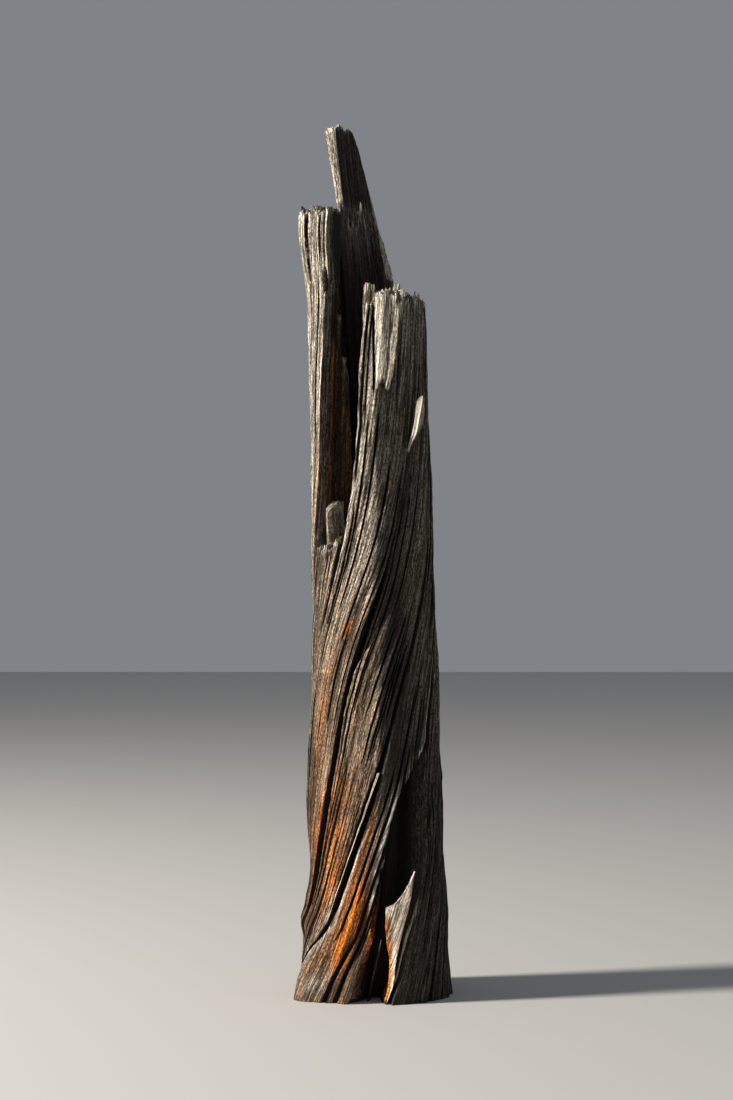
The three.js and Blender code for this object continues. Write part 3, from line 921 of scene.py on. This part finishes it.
# Slabs of wood beside the staves. Their edges and faces are functions of the share h of the height, the
# share a across, the share t outwards, the height z and the grain angle g.
SLABS = {
    "back_lining": {
        "bottom": 1700,
        "top": LINING_RIM,
        "rim": lambda a: 14 * np.sin(9 * a),
        "left": lambda h, z, t: mix(97, 112, smooth(2750, 3140, z)),
        "right": lambda h, z, t: 160 + 0 * z,
        "inner": lambda h, a, z, g: mix(100, 142, smooth(0, 0.4, h)),
        "outer": lambda h, a, z, g: wall_inside(z) - WALL_GAP,
        "seed": 11,
        "fray": 2.0,
        "rot": 0.75,
        "sides": 0.5,
        "shade_high_up": 0.9,
    },
    "left_lining": {
        "bottom": 1790,
        "top": 2700,
        "left": lambda h, z, t: hollow_left(z) - 22,
        "right": lambda h, z, t: hollow_left(z) - 3.2,
        "inner": lambda h, a, z, g: wall_inside(z) - 32,
        "outer": lambda h, a, z, g: wall_inside(z) - WALL_GAP,
        "seed": 12,
        "fray": 0.8,
        "rot": 0.8,
    },
    "left_inner_sheet": {
        "bottom": 1800,
        "top": 2540,
        "left": lambda h, z, t: hollow_left(z) - 20,
        "right": lambda h, z, t: hollow_left(z) - 5,
        "inner": lambda h, a, z, g: wall_inside(z) - along([(0, 66), (0.4, 84), (1, 70)], h),
        "outer": lambda h, a, z, g: wall_inside(z) - 33.3,
        "slant": 75,
        "seed": 13,
        "fray": 0.8,
        "rot": 0.45,
    },
    "hollow_stump": {
        "bottom": 1714,
        "top": 1958,
        "rim": lambda a: -5 * np.square(2 * a - 1),
        "left": lambda h, z, t: hollow_left(z) + 2,
        "right": lambda h, z, t: hollow_left(z) + mix(24, 10, smooth(0.2, 0.38, h)),
        "inner": lambda h, a, z, g: mix(96, 132, smooth(0.4, 0.8, h)),
        "outer": lambda h, a, z, g: wall_inside(z) - WALL_GAP + 56 * smooth(0.24, 0.3, h),
        "seed": 14,
        "fray": 1.0,
        "rot": 0.1,
        "pale": 0.2,
    },
    "front_slab": {
        "bottom": 2385,
        "top": FRONT_RIM - 12,
        "left": lambda h, z, t: mix(-43.5, -52, h),
        "right": lambda h, z, t: mix(-31, -23.5, h),
        "inner": lambda h, a, z, g: whole_bark(g, z) + SLAB_LIFT,
        "outer": lambda h, a, z, g: whole_bark(g, z) + SLAB_LIFT + mix(3, 52, a) * smooth(-0.3, 0.25, h),
        "seed": 15,
        "fray": 0.8,
        "rot": 0,
        "pale": 0.55,
        "torn": 1,
    },
    "rim_block": {
        "bottom": 2600,
        "top": 2826,
        "rim": lambda a: -16 * np.square(2 * a - 1),
        "left": lambda h, z, t: mix(-60.5, -64, smooth(0, 0.6, h)),
        "right": lambda h, z, t: -45.5 + 0 * z,
        "inner": lambda h, a, z, g: mix(161, 150, smooth(0, 0.5, h)),
        "outer": lambda h, a, z, g: HOLLOW_RADIUS - WALL_GAP + 0 * z,
        "seed": 16,
        "fray": 0.3,
        "rot": 0.2,
    },
    "crack_sliver": {
        "bottom": 2140,
        "top": 2352,
        "rim": lambda a: 12 * a,
        "left": lambda h, z, t: sliver_edge((0.8, 0), -1.8, (-8.4, -7.6), h, t),
        "right": lambda h, z, t: sliver_edge((2.2, 3), -1.2, (-7, -5.4), h, t),
        "inner": lambda h, a, z, g: whole_bark(g, z) + mix(-8, 32 + 18 * a, smooth(0.08, 0.62, h)),
        "outer": lambda h, a, z, g: whole_bark(g, z) + mix(4, mix(50, 60, h) + 26 * a, smooth(0, 0.42, h)),
        "seed": 19,
        "fray": 0.5,
        "rot": 0,
        # Pale broken wood, made paler still as a painted highlight
        "pale": 1.35,
        "slant": 70,
        "face": 46,
        "sides": 0.5,
        "own_grain": 1,
        "sharp": 1,
    },
    "crack_lath": {
        "bottom": 300,
        "top": 900,
        "left": lambda h, z, t: crack_front(z) - lath_half(h, z, t),
        "right": lambda h, z, t: crack_front(z) + lath_half(h, z, t),
        "inner": lambda h, a, z, g: mix(crack_depth(z), whole_bark(g, z) - 14, 0.5),
        "outer": lambda h, a, z, g: whole_bark(g, z) + mix(0, 17, a),
        "seed": 20,
        "fray": 0.3,
        "rot": 0,
        "pale": 1,
        "sides": 4,
        "dark_right": 0.95,
        "own_grain": 1,
        "sharp": 1,
    },
    "base_wedge": {
        "bottom": 0,
        "top": 375,
        "rim": lambda a: 130 * a**2.2,
        "left": lambda h, z, t: along(WEDGE_LEFT, z),
        "right": lambda h, z, t: along(WEDGE_RIGHT, z),
        "inner": lambda h, a, z, g: mix(150, mix(262, 284, a), smooth(0, 0.3, h)),
        "outer": lambda h, a, z, g: mix(274, 311, a),
        "seed": 17,
        "stain": 0.9,
        "fray": 0.45,
        "rot": 0,
        "pale": 0.9,
    },
    "base_stub": {
        "bottom": 0,
        "top": 240,
        "left": lambda h, z, t: 83.2 + 0 * z,
        "right": lambda h, z, t: 86 + 0 * z,
        "inner": lambda h, a, z, g: mix(HOLLOW_DEPTH - mix(-1.5, 7, a), 200, smooth(0, 0.6, h)),
        "outer": lambda h, a, z, g: 226 + 0 * z,
        "seed": 18,
        "fray": 0.3,
        "rot": 0,
    },
}

# The faces of a slab: the thickness of one layer, the radius from which the layers are counted, the fewest
# and the most of them, the height of its rows against a stave's, and the fewest columns and rows
SLAB_LAYER = 12
SLAB_FLOOR = 120
SLAB_LAYERS = (3, 6)
SLAB_ROW = 0.7
FEWEST_COLUMNS = 6
FEWEST_ROWS = 20

# The heart: faces round it and rings in each of its ends, the share of its radius where the rings begin,
# its rows against a stave's, the gap round it, and the length of a degree round it
HEART_COLUMNS = 144
HEART_RINGS = 12
HEART_CENTRE = 0.1
HEART_ROW = 1.6
HEART_GAP = 0.9
HEART_DEGREE = 2.05
# Its top lies lower than the hollow's floor: at its rim, by how much more further in, and at its middle
HEART_SUNK = 12
HEART_DISH = 75
HEART_MIDDLE = 90


def sliver_edge(inner, root, leaning, h, t):
    """Grain angle of an edge of the splinter: it leaves the crack at its root and leans to the front."""
    outer = mix(root, mix(*leaning, h), smooth(0, 0.4, h))
    return mix(mix(*inner, h), outer, t)


def lath_half(h, z, t):
    """Half the width of the lath in the crack, in degrees."""
    return np.degrees(mix(3, 1.6, h) * mix(1, 2, t) / crack_depth(z))


def slab_marks(spec, at):
    """The attributes that a slab's material reads."""
    seed, a, h, height = at.seed, at.a, at.h, at.height
    top, below_top = spec["top"], 1 - smooth(0.75, 0.95, h)
    # Under the rim: pale broken fibres, also painted as lit, with less painted shade and decay
    at_rim = smooth(top - 60, top - 12, mix(spec["bottom"], top, h))
    at_rim = at_rim * (0.7 + 0.5 * streaks(at.across, height, 7, 30, seed + 3))
    pale = smooth(0.8, 1, h) * (0.6 + 0.4 * streaks(at.across, height, 7, 20, seed + 8))
    pale = np.maximum(pale, spec["pale"] * (0.8 + 0.2 * streaks(at.across, height, 15, 90, seed + 9)))
    band = spec["stain"] * (1 - smooth(0.22, 0.36, a)) * below_top
    beside_band = spec["stain"] * bell((a - 0.4) / 0.05) * below_top
    # Painted shade: at the foot unless it is torn, on the sides, in the grooves of the relief and on the
    # right side
    foot = smooth(0.1, 0, h) * (1 - spec["torn"])
    dark = foot + spec["sides"] * (1 - at.t) * (1 - at_rim) - at.relief / 16
    dark = dark + spec["dark_right"] * (a == 1) + beside_band
    # Painted shade high up, in the colours of the shaded side
    shade_high_up = spec["shade_high_up"] * smooth(2450, 2850, height)
    own_grain = spec["seed"] * 7 + np.degrees(at.across / GRAIN_ARC)
    depth = np.where(at.t == 1, a * spec["face"], at.outer - at.radius)
    return {
        "grain": grain_vector(mix(at.grain, own_grain, spec["own_grain"]), depth, height),
        "dark": np.clip(dark, 0, 1),
        "rot": spec["rot"] * (1 - 0.8 * at_rim) * (1 - 0.5 * smooth(2700, 3050, height)),
        "pale": np.maximum(np.clip(pale - 2 * band, 0, 1) * (1 - 0.5 * spec["rot"]), 0.8 * at_rim),
        "stain": stain_at(at.grain, height) + band,
        "damp": np.maximum(shade_side_at(at.grain, height) * (1 - spec["pale"]), shade_high_up * (1 - at_rim)),
    }


def slab_piece(name, spec, sizes, material):
    """A thin shard or sheet that follows the grain, with a frayed rim."""
    spec = {**SLAB_DEFAULTS, **spec}
    seed, bottom, top = spec["seed"] * SEED_STEP, spec["bottom"], spec["top"]
    middle = np.array((bottom + top) / 2)
    left_edge = spec["left"](0.5, middle, 1)
    width = math.radians(float(spec["right"](0.5, middle, 1) - left_edge)) * SLAB_ARC
    depth = float(np.max(spec["outer"](0.9, 0.5, middle, left_edge))) - SLAB_FLOOR
    columns = max(round(width / sizes.column), FEWEST_COLUMNS)
    rows = max(round((top - bottom) / (sizes.row * SLAB_ROW)), FEWEST_ROWS)
    layers = int(np.clip(depth / SLAB_LAYER, *SLAB_LAYERS))
    blunt = 1 - spec["sharp"]

    def place(layer, column, row):
        a, h, t = column / columns, row / rows, layer / layers
        across = a * width
        end = fibres(across + 3 * t, seed) * spec["fray"] * sizes.fray
        height = mix(bottom, top, h) + smooth(0.7, 1, h) * spec["rim"](a) + smooth(0.86, 1, h) * end
        lower_end = fibres(across + 40, seed + 4) - 12
        height = height - smooth(0.14, 0, h) * lower_end * spec["torn"]
        height = height - spec["slant"] * (1 - t) * smooth(0.7, 1, h)
        grain = mix(spec["left"](h, height, t), spec["right"](h, height, t), a)
        inner = spec["inner"](h, a, height, grain) + 0 * height
        outer = spec["outer"](h, a, height, grain) + 0 * height
        thick = outer - inner
        worn = 1 - 0.75 * blunt * smooth(0.8, 1, h) * (0.5 + 0.5 * streaks(across, height, 9, 40, seed + 2))
        rounded = 1 - 0.3 * blunt * np.exp(-np.minimum(a, 1 - a) * width / 5)
        relief = sizes.relief * np.clip(weathering(across, height, seed) * 0.7, -thick / 4, 2.2)
        radius = mix(inner, inner + thick * worn * rounded, t) + np.where(t == 1, relief - 1.5, 0)
        rough = 1.3 * streaks(height, radius, 42, 9, seed + 5)
        rough = rough + 0.9 * streaks(height, radius, 13, 5, seed + 6)
        torn = (2.2 + rough) * min(width / 9, 1) * smooth(0.02, 0.1, h)
        grain = grain + np.degrees(torn / radius) * (np.exp(-across / 9) - np.exp(-(width - across) / 9))
        at = SimpleNamespace(seed=seed, a=a, h=h, t=t, across=across, relief=relief)
        at.grain, at.radius, at.height, at.outer = grain, radius, height, outer
        return point(grain, radius, height), slab_marks(spec, at)

    vertices, quads, attributes = bent_box((layers, columns, rows), place)
    return make_mesh(name, vertices, quads, attributes, material)


def heartwood_piece(name, sizes, material):
    """The rotten heart: a ribbed post under the hollow, crumbled at its top."""
    rows = round(HOLLOW_FLOOR / (sizes.row * HEART_ROW))
    out = np.linspace(HEART_CENTRE, 1, HEART_RINGS)
    shares = np.concatenate([out, np.ones(rows - 1), np.linspace(1, HEART_CENTRE, HEART_RINGS)])
    levels = [np.zeros(HEART_RINGS), np.linspace(0, 1, rows + 1)[1:-1], np.ones(HEART_RINGS)]
    grain, ring = np.meshgrid(np.arange(HEART_COLUMNS) * 360 / HEART_COLUMNS, np.arange(len(shares)))
    share, level = shares[ring], np.concatenate(levels)[ring]
    across = np.minimum(grain, 360 - grain) * HEART_DEGREE
    crumbs = 9 * streaks(share * 120, across, 26, 30, 91) + 5 * streaks(share * 120, across, 9, 11, 92)
    dish = -HEART_DISH * (1 - share**2) + crumbs
    height = level * HOLLOW_FLOOR + np.where(level == 1, dish - HEART_SUNK, 0)
    ribs = -np.abs(decay(across, height, 95)) * 0.5 * smooth(0, 0.02, level) - 1
    radius = (CORE_RADIUS - HEART_GAP) * share + np.where(level < 1, ribs, -4) * share

    vertices = point(grain, radius, height).reshape(-1, 3)
    ids = np.arange(len(vertices)).reshape(ring.shape)
    turned = np.roll(ids, -1, axis=1)
    quads = [np.stack([ids[:-1], turned[:-1], turned[1:], ids[1:]], axis=-1).reshape(-1, 4)]
    centres = point(np.zeros(2), np.zeros(2), np.array([0.0, HOLLOW_FLOOR - HEART_MIDDLE]))
    for centre, edge in ((len(vertices), ids[0][::-1]), (len(vertices) + 1, ids[-1])):
        middle = np.full(HEART_COLUMNS // 2, centre)
        quads.append(np.stack([middle, edge[0::2], edge[1::2], np.roll(edge[0::2], -1)], axis=-1))
    vertices = np.concatenate([vertices, centres])
    everywhere = np.ones(len(vertices))
    places = grain_vector(grain, radius, height).reshape(-1, 3)
    attributes = {"grain": np.concatenate([places, centres]), "dark": 0.55 * everywhere, "rot": everywhere}
    for key in ("pale", "stain", "damp"):
        attributes[key] = 0 * everywhere
    return make_mesh(name, vertices, np.concatenate(quads), attributes, material)


# Materials


class Shading:
    """Makes the nodes of one material."""

    def __init__(self, material):
        material.use_nodes = True
        self.tree = material.node_tree
        self.tree.nodes.clear()

    def node(self, kind, inputs, **settings):
        made = self.tree.nodes.new(kind)
        for key, value in settings.items():
            setattr(made, key, value)
        for key, value in inputs.items():
            if isinstance(value, bpy.types.NodeSocket):
                self.tree.links.new(value, made.inputs[key])
            else:
                made.inputs[key].default_value = value
        return made

    def attribute(self, name):
        made = self.node("ShaderNodeAttribute", {}, attribute_name=name)
        return made.outputs["Vector" if name == "grain" else "Fac"]

    def noise(self, vector, stretch, scale, detail=3.0, roughness=0.6):
        """Noise drawn out along the grain by the stretch."""
        size = (1, 1, 1 / stretch)
        drawn = self.node("ShaderNodeMapping", {"Vector": vector, "Scale": size}, vector_type="POINT")
        inputs = {"Vector": drawn.outputs[0], "Scale": scale, "Detail": detail, "Roughness": roughness}
        return self.node("ShaderNodeTexNoise", inputs).outputs[0]

    def number(self, operation, a, b=0.0, clamp=False):
        made = self.node("ShaderNodeMath", {0: a, 1: b}, operation=operation, use_clamp=clamp)
        return made.outputs[0]

    def times(self, a, b, clamp=False):
        return self.number("MULTIPLY", a, b, clamp)

    def total(self, *parts):
        """The sum of values, each times its weight."""
        terms = [self.times(value, weight) for value, weight in parts]
        result = terms[0]
        for term in terms[1:]:
            result = self.number("ADD", result, term)
        return result

    def window(self, value, low, high, start=0.0, end=1.0):
        """A smooth step from start to end as the value goes from low to high."""
        inputs = {"Value": value, "From Min": low, "From Max": high, "To Min": start, "To Max": end}
        return self.node("ShaderNodeMapRange", inputs, interpolation_type="SMOOTHSTEP").outputs[0]

    def blend(self, share, a, b, kind="MIX"):
        made = self.node("ShaderNodeMix", {0: share, 6: a, 7: b}, data_type="RGBA", blend_type=kind)
        return made.outputs[2]

    def lines(self, vector, stretch, scale, middle, low, high):
        """0 on thin lines along the grain and 1 between them."""
        spread = self.noise(vector, stretch, scale, 2.0, 0.5)
        return self.window(self.number("ABSOLUTE", self.number("SUBTRACT", spread, middle)), low, high)


def wood_material(name, colours, silver, rough_depth):
    """Weathered wood. silver says how grey it is: 1 is fully bleached and 0 is brown."""
    material = bpy.data.materials.new(name)
    shade = Shading(material)
    grain = shade.attribute("grain")
    pale = shade.attribute("pale")
    # Marks along the grain, and thin lines where the wood has split
    threads = shade.noise(grain, 34, 520, 4.0, 0.62)
    bands = shade.noise(grain, 46, 135)
    flecks = shade.noise(grain, 11, 240, 2.0)
    specks = shade.noise(grain, 2.6, 215, 2.0, 0.7)
    tone = shade.window(shade.total((threads, 0.3), (bands, 0.45), (flecks, 0.25)), 0.39, 0.62)
    splits = shade.lines(grain, 52, 210, 0.5, 0.004, 0.028)
    splits = shade.times(splits, shade.lines(grain, 70, 70, 0.52, 0.003, 0.016))
    splits = shade.times(splits, shade.lines(grain, 55, 42, 0.49, 0.004, 0.03))

    colour = weathered_colour(shade, colours, tone, silver, grain)
    colour = marked_colour(shade, colours, tone, bands, pale, grain, colour)
    # Specks that darken or lighten the wood, giving way to a painted highlight where it is pale; then
    # decay, splits and painted shade in the depths
    speckled = shade.window(specks, 0.36, 0.63, 0.3, 1.62)
    speckled = shade.blend(shade.times(pale, 0.6), speckled, (1.35, 1.35, 1.35, 1.0))
    colour = shade.blend(1.0, colour, speckled, "MULTIPLY")
    rotten = shade.blend(shade.window(bands, 0.3, 0.7), colours.rot_dark, colours.rot_light)
    colour = shade.blend(shade.times(shade.attribute("rot"), 0.92), colour, rotten)
    colour = shade.blend(shade.window(splits, 0, 1, 0.85, 0.0), colour, colours.crack)
    # Painted shade, from the dark attribute, in the crack colour
    colour = shade.blend(shade.times(shade.attribute("dark"), 0.98, clamp=True), colour, colours.crack)

    relief = shade.total((threads, 0.35), (bands, 0.6), (splits, 0.75), (specks, 1.1))
    depth = rough_depth * MILLIMETRE
    bump = shade.node("ShaderNodeBump", {"Strength": 0.85, "Distance": depth, "Height": relief})
    gloss = shade.window(tone, 0, 1, 0.95, 0.8)
    inputs = {"Base Color": colour, "Roughness": gloss, "Specular IOR Level": 0.22}
    inputs["Normal"] = bump.outputs[0]
    surface = shade.node("ShaderNodeBsdfPrincipled", inputs)
    shade.node("ShaderNodeOutputMaterial", {"Surface": surface.outputs[0]})
    return material


def weathered_colour(shade, colours, tone, silver, grain):
    """Grey, bleached fibres, with more brown the lower on the trunk they are."""
    grey = shade.blend(tone, colours.silver_dark, colours.silver_light)
    brown = shade.blend(tone, colours.brown_dark, colours.brown_light)
    height = shade.node("ShaderNodeSeparateXYZ", {0: grain}).outputs["Z"]
    unbleached = shade.window(height, 0.3, 2.7, 0.95, 0.05)
    patches_of_brown = shade.times(shade.number("SUBTRACT", shade.noise(grain, 7, 11, 4.0), 0.5), 1.5)
    unbleached = shade.number("ADD", unbleached, patches_of_brown)
    unbleached = shade.number("ADD", unbleached, 0.9 * (1 - silver), clamp=True)
    return shade.blend(unbleached, grey, brown)


def marked_colour(shade, colours, tone, bands, pale, grain, colour):
    """Resin stains, painted shade on the side away from the light, and the pale broken ends, partly painted
    highlight, with their lichen, laid over a colour.
    """
    streak = shade.window(shade.noise(grain, 26, 75), 0.34, 0.54)
    orange = shade.blend(shade.window(bands, 0.35, 0.65), colours.stain_dark, colours.stain_light)
    stained = shade.times(shade.times(shade.attribute("stain"), 1.25), streak, clamp=True)
    colour = shade.blend(stained, colour, orange)
    # Painted shade: the side away from the light turns a dark olive grey
    shaded_wood = shade.blend(tone, colours.shaded_dark, colours.shaded_light)
    colour = shade.blend(shade.times(shade.attribute("damp"), 0.93), colour, shaded_wood)
    fresh = shade.blend(tone, colours.pale_dark, colours.pale_light)
    colour = shade.blend(shade.times(pale, 0.95), colour, fresh)
    spots = shade.window(shade.noise(grain, 1.6, 160), 0.56, 0.64)
    lichen = shade.times(shade.times(spots, pale), 0.3)
    return shade.blend(lichen, colour, colours.lichen)


# Settings


def colour_setting(label, description, default):
    kinds = {"subtype": "COLOR", "size": 4, "min": 0.0, "max": 1.0}
    colour = (*default, 1.0)
    return bpy.props.FloatVectorProperty(name=label, description=description, default=colour, **kinds)


def number_setting(label, description, default, **kinds):
    return bpy.props.FloatProperty(name=label, description=description, default=default, **kinds)


class DeadTreeColours(bpy.types.PropertyGroup):
    silver_light: colour_setting("Silver, light", "Bleached fibres", (0.6, 0.53, 0.43))
    silver_dark: colour_setting("Silver, dark", "Grooves between bleached fibres", (0.045, 0.038, 0.029))
    brown_light: colour_setting("Brown, light", "Unbleached fibres low on the trunk", (0.33, 0.175, 0.076))
    brown_dark: colour_setting("Brown, dark", "Grooves between unbleached fibres", (0.03, 0.014, 0.006))
    stain_light: colour_setting("Stain, light", "Orange resin stain", (0.8, 0.24, 0.012))
    stain_dark: colour_setting("Stain, dark", "Dark resin stain", (0.2, 0.04, 0.003))
    # Also the colour of the painted highlights on crack borders, rims and splinters
    pale_light: colour_setting("Broken end, light", "Pale fibres at the broken ends", (0.92, 0.85, 0.74))
    pale_dark: colour_setting("Broken end, dark", "Grooves at the broken ends", (0.24, 0.205, 0.155))
    rot_light: colour_setting("Decay, light", "Ribs of the rotten inner faces", (0.07, 0.036, 0.021))
    rot_dark: colour_setting("Decay, dark", "Grooves of the rotten inner faces", (0.013, 0.008, 0.005))
    lichen: colour_setting("Lichen", "Yellow-green specks on the broken ends", (0.3, 0.3, 0.11))
    # Painted shade: the colours of the side of the trunk that is turned from the light
    shaded_light: colour_setting(
        "Damp side, light", "Fibres on the side that stays damp", (0.16, 0.15, 0.115)
    )
    shaded_dark: colour_setting(
        "Damp side, dark", "Grooves on the side that stays damp", (0.022, 0.021, 0.015)
    )
    # Also the colour that painted shade darkens the wood towards
    crack: colour_setting("Crack", "The depths of the cracks", (0.01, 0.0075, 0.0055))


class DeadTreeSizes(bpy.types.PropertyGroup):
    column: number_setting(
        "Column", "Width across the grain of one strip of faces, in millimetres", 1.8, min=1.0, max=20.0
    )
    row: number_setting(
        "Row", "Height along the grain of one row of faces, in millimetres", 12.0, min=3.0, max=60.0
    )
    relief: number_setting("Relief", "Strength of the weathered relief", 1.0, min=0.0, max=2.0)
    fray: number_setting("Fray", "Strength of the fraying at the broken rims", 1.0, min=0.0, max=2.0)
    checks: bpy.props.IntProperty(
        name="Drying cracks",
        description="Lanes of small drying cracks in each stave",
        default=8,
        min=0,
        max=20,
    )


class DeadTreeStage(bpy.types.PropertyGroup):
    key_power: number_setting(
        "Key light", "Power of the large light on the left", 9300.0, min=0.0, unit="POWER"
    )
    fill_power: number_setting(
        "Fill light", "Power of the weak light on the right", 12.0, min=0.0, unit="POWER"
    )
    surroundings: number_setting(
        "Surroundings", "Strength of the pale surroundings", 0.27, min=0.0, max=3.0
    )
    distance: number_setting("Camera distance", "From the trunk's foot", 10.0, min=2.0, unit="LENGTH")
    eye_height: number_setting("Camera height", "Above the ground", 1.6, min=0.1, unit="LENGTH")
    lens: number_setting("Focal length", "In millimetres, for a 36 mm tall frame", 81.8, min=10.0)


# How grey each slot's wood is, and the depth of its fine relief in millimetres
FINISHES = {
    "weathered_wood": (1.0, 2.4),
    "broken_wood": (1.0, 2.0),
    "stained_wood": (0.2, 2.6),
    "inner_wood": (0.2, 2.6),
}
LININGS = ("back_lining", "left_lining", "left_inner_sheet")
SHARDS = {
    "hollow_stump": "broken_wood",
    "front_slab": "broken_wood",
    "rim_block": "broken_wood",
    "crack_sliver": "broken_wood",
    "crack_lath": "broken_wood",
    "base_wedge": "broken_wood",
    "base_stub": "stained_wood",
}

# The stage, in metres: half the width of its floor, with its colour and that of the surroundings
FLOOR_HALF = 40
FLOOR_COLOUR = (0.5, 0.495, 0.485, 1)
SKY_COLOUR = (0.8, 0.84, 0.9, 1)
# The lights: how wide they are, and for each its place, the point that it faces and its colour
LIGHT_SIZE = 3.0
KEY_LIGHT = ((-17.1, -4.9, 7.2), (0, 0, 1.7), (1, 0.94, 0.85))
FILL_LIGHT = ((5.5, -5.0, 2.6), (0, 0, 1.5), (0.85, 0.92, 1))
# The camera: the height of its frame in millimetres, and its tilt and its turn in degrees
FRAME_HEIGHT = 36
CAMERA_TILT = 90.96
CAMERA_TURN = 0.22


# Operators


def slot_material(context, slot):
    """The finish of one of the record's slots, made once."""
    name = slot + "_finish"
    found = bpy.data.materials.get(name)
    if found is None:
        found = wood_material(name, context.scene.dead_tree_colours, *FINISHES[slot])
    return found


class DEADTREE_OT_heartwood(bpy.types.Operator):
    """Make the rotten heart that the staves stand round"""

    bl_idname = "dead_tree.heartwood"
    bl_label = "Heartwood"

    def execute(self, context):
        material = slot_material(context, "inner_wood")
        piece = heartwood_piece("rotten_heart", context.scene.dead_tree_sizes, material)
        place_piece(piece, "heartwood")
        return {"FINISHED"}


class DEADTREE_OT_staves(bpy.types.Operator):
    """Make the spiral staves of the trunk's wall, each broken off at its own height"""

    bl_idname = "dead_tree.staves"
    bl_label = "Staves"

    def execute(self, context):
        sizes, material = context.scene.dead_tree_sizes, slot_material(context, "weathered_wood")
        for node, spec in STAVES.items():
            piece = stave_piece(node + "_wood", spec, sizes, material)
            place_piece(piece, node)
        return {"FINISHED"}


class DEADTREE_OT_linings(bpy.types.Operator):
    """Make the sheets of decayed wood that line the hollow"""

    bl_idname = "dead_tree.linings"
    bl_label = "Linings of the hollow"

    def execute(self, context):
        sizes, material = context.scene.dead_tree_sizes, slot_material(context, "inner_wood")
        for node in LININGS:
            piece = slab_piece(node + "_wood", SLABS[node], sizes, material)
            place_piece(piece, node)
        return {"FINISHED"}


class DEADTREE_OT_shards(bpy.types.Operator):
    """Make the shards and splinters that stand at the rims, in the cracks and in the base hollow"""

    bl_idname = "dead_tree.shards"
    bl_label = "Shards and splinters"

    def execute(self, context):
        sizes = context.scene.dead_tree_sizes
        for node, slot in SHARDS.items():
            piece = slab_piece(node + "_wood", SLABS[node], sizes, slot_material(context, slot))
            place_piece(piece, node)
        return {"FINISHED"}


class DEADTREE_OT_stage(bpy.types.Operator):
    """Make the pale floor, the soft studio lights and the camera at the photograph's angle"""

    bl_idname = "dead_tree.stage"
    bl_label = "Stage"

    def execute(self, context):
        stage = context.scene.dead_tree_stage
        add_floor(context)
        world = bpy.data.worlds.new("surroundings")
        world.use_nodes = True
        background = world.node_tree.nodes["Background"]
        background.inputs["Color"].default_value = SKY_COLOUR
        background.inputs["Strength"].default_value = stage.surroundings
        context.scene.world = world
        context.scene.view_settings.view_transform = "Standard"
        add_light(context, "key_light", stage.key_power, *KEY_LIGHT)
        add_light(context, "fill_light", stage.fill_power, *FILL_LIGHT)
        add_camera(context, stage)
        return {"FINISHED"}


def add_floor(context):
    material = bpy.data.materials.new("pale_floor")
    shade = Shading(material)
    surface = shade.node("ShaderNodeBsdfPrincipled", {"Base Color": FLOOR_COLOUR, "Roughness": 0.9})
    shade.node("ShaderNodeOutputMaterial", {"Surface": surface.outputs[0]})
    mesh = bpy.data.meshes.new("floor")
    half = FLOOR_HALF
    corners = [(-half, -half, 0), (half, -half, 0), (half, half, 0), (-half, half, 0)]
    mesh.from_pydata(corners, [], [(0, 1, 2, 3)])
    mesh.materials.append(material)
    floor = bpy.data.objects.new("floor", mesh)
    context.scene.collection.objects.link(floor)


def add_light(context, name, power, place, aim, colour):
    data = bpy.data.lights.new(name, "AREA")
    data.shape = "DISK"
    data.size = LIGHT_SIZE
    data.energy = power
    data.color = colour
    light = bpy.data.objects.new(name, data)
    light.location = place
    x, y, z = np.array(place) - np.array(aim)
    light.rotation_euler = (math.atan2(math.hypot(x, y), z), 0, math.atan2(x, -y))
    context.scene.collection.objects.link(light)


def add_camera(context, stage):
    data = bpy.data.cameras.new("camera")
    data.sensor_fit = "VERTICAL"
    data.sensor_height = FRAME_HEIGHT
    data.lens = stage.lens
    camera = bpy.data.objects.new("camera", data)
    camera.location = (0, -stage.distance, stage.eye_height)
    camera.rotation_euler = (math.radians(CAMERA_TILT), 0, math.radians(CAMERA_TURN))
    context.scene.collection.objects.link(camera)
    context.scene.camera = camera


class DEADTREE_PT_panel(bpy.types.Panel):
    """Lists the pieces of the dead tree trunk"""

    bl_idname = "DEADTREE_PT_panel"
    bl_label = "Dead tree"
    bl_space_type = "VIEW_3D"
    bl_region_type = "UI"
    bl_category = "Dead tree"

    def draw(self, context):
        for operator in OPERATORS:
            self.layout.operator(operator.bl_idname)
        scene = context.scene
        for group in (scene.dead_tree_sizes, scene.dead_tree_colours, scene.dead_tree_stage):
            for key in group.__annotations__:
                self.layout.prop(group, key)


OPERATORS = (
    DEADTREE_OT_heartwood,
    DEADTREE_OT_staves,
    DEADTREE_OT_linings,
    DEADTREE_OT_shards,
    DEADTREE_OT_stage,
)
GROUPS = {
    "dead_tree_sizes": DeadTreeSizes,
    "dead_tree_colours": DeadTreeColours,
    "dead_tree_stage": DeadTreeStage,
}


def register():
    for kind in (*GROUPS.values(), *OPERATORS, DEADTREE_PT_panel):
        bpy.utils.register_class(kind)
    for name, group in GROUPS.items():
        setattr(bpy.types.Scene, name, bpy.props.PointerProperty(type=group))


def unregister():
    for name in GROUPS:
        delattr(bpy.types.Scene, name)
    for kind in (DEADTREE_PT_panel, *OPERATORS, *GROUPS.values()):
        bpy.utils.unregister_class(kind)


def main():
    register()
    bpy.ops.dead_tree.heartwood()
    bpy.ops.dead_tree.staves()
    bpy.ops.dead_tree.linings()
    bpy.ops.dead_tree.shards()
    bpy.ops.dead_tree.stage()


if __name__ == "__main__":
    main()
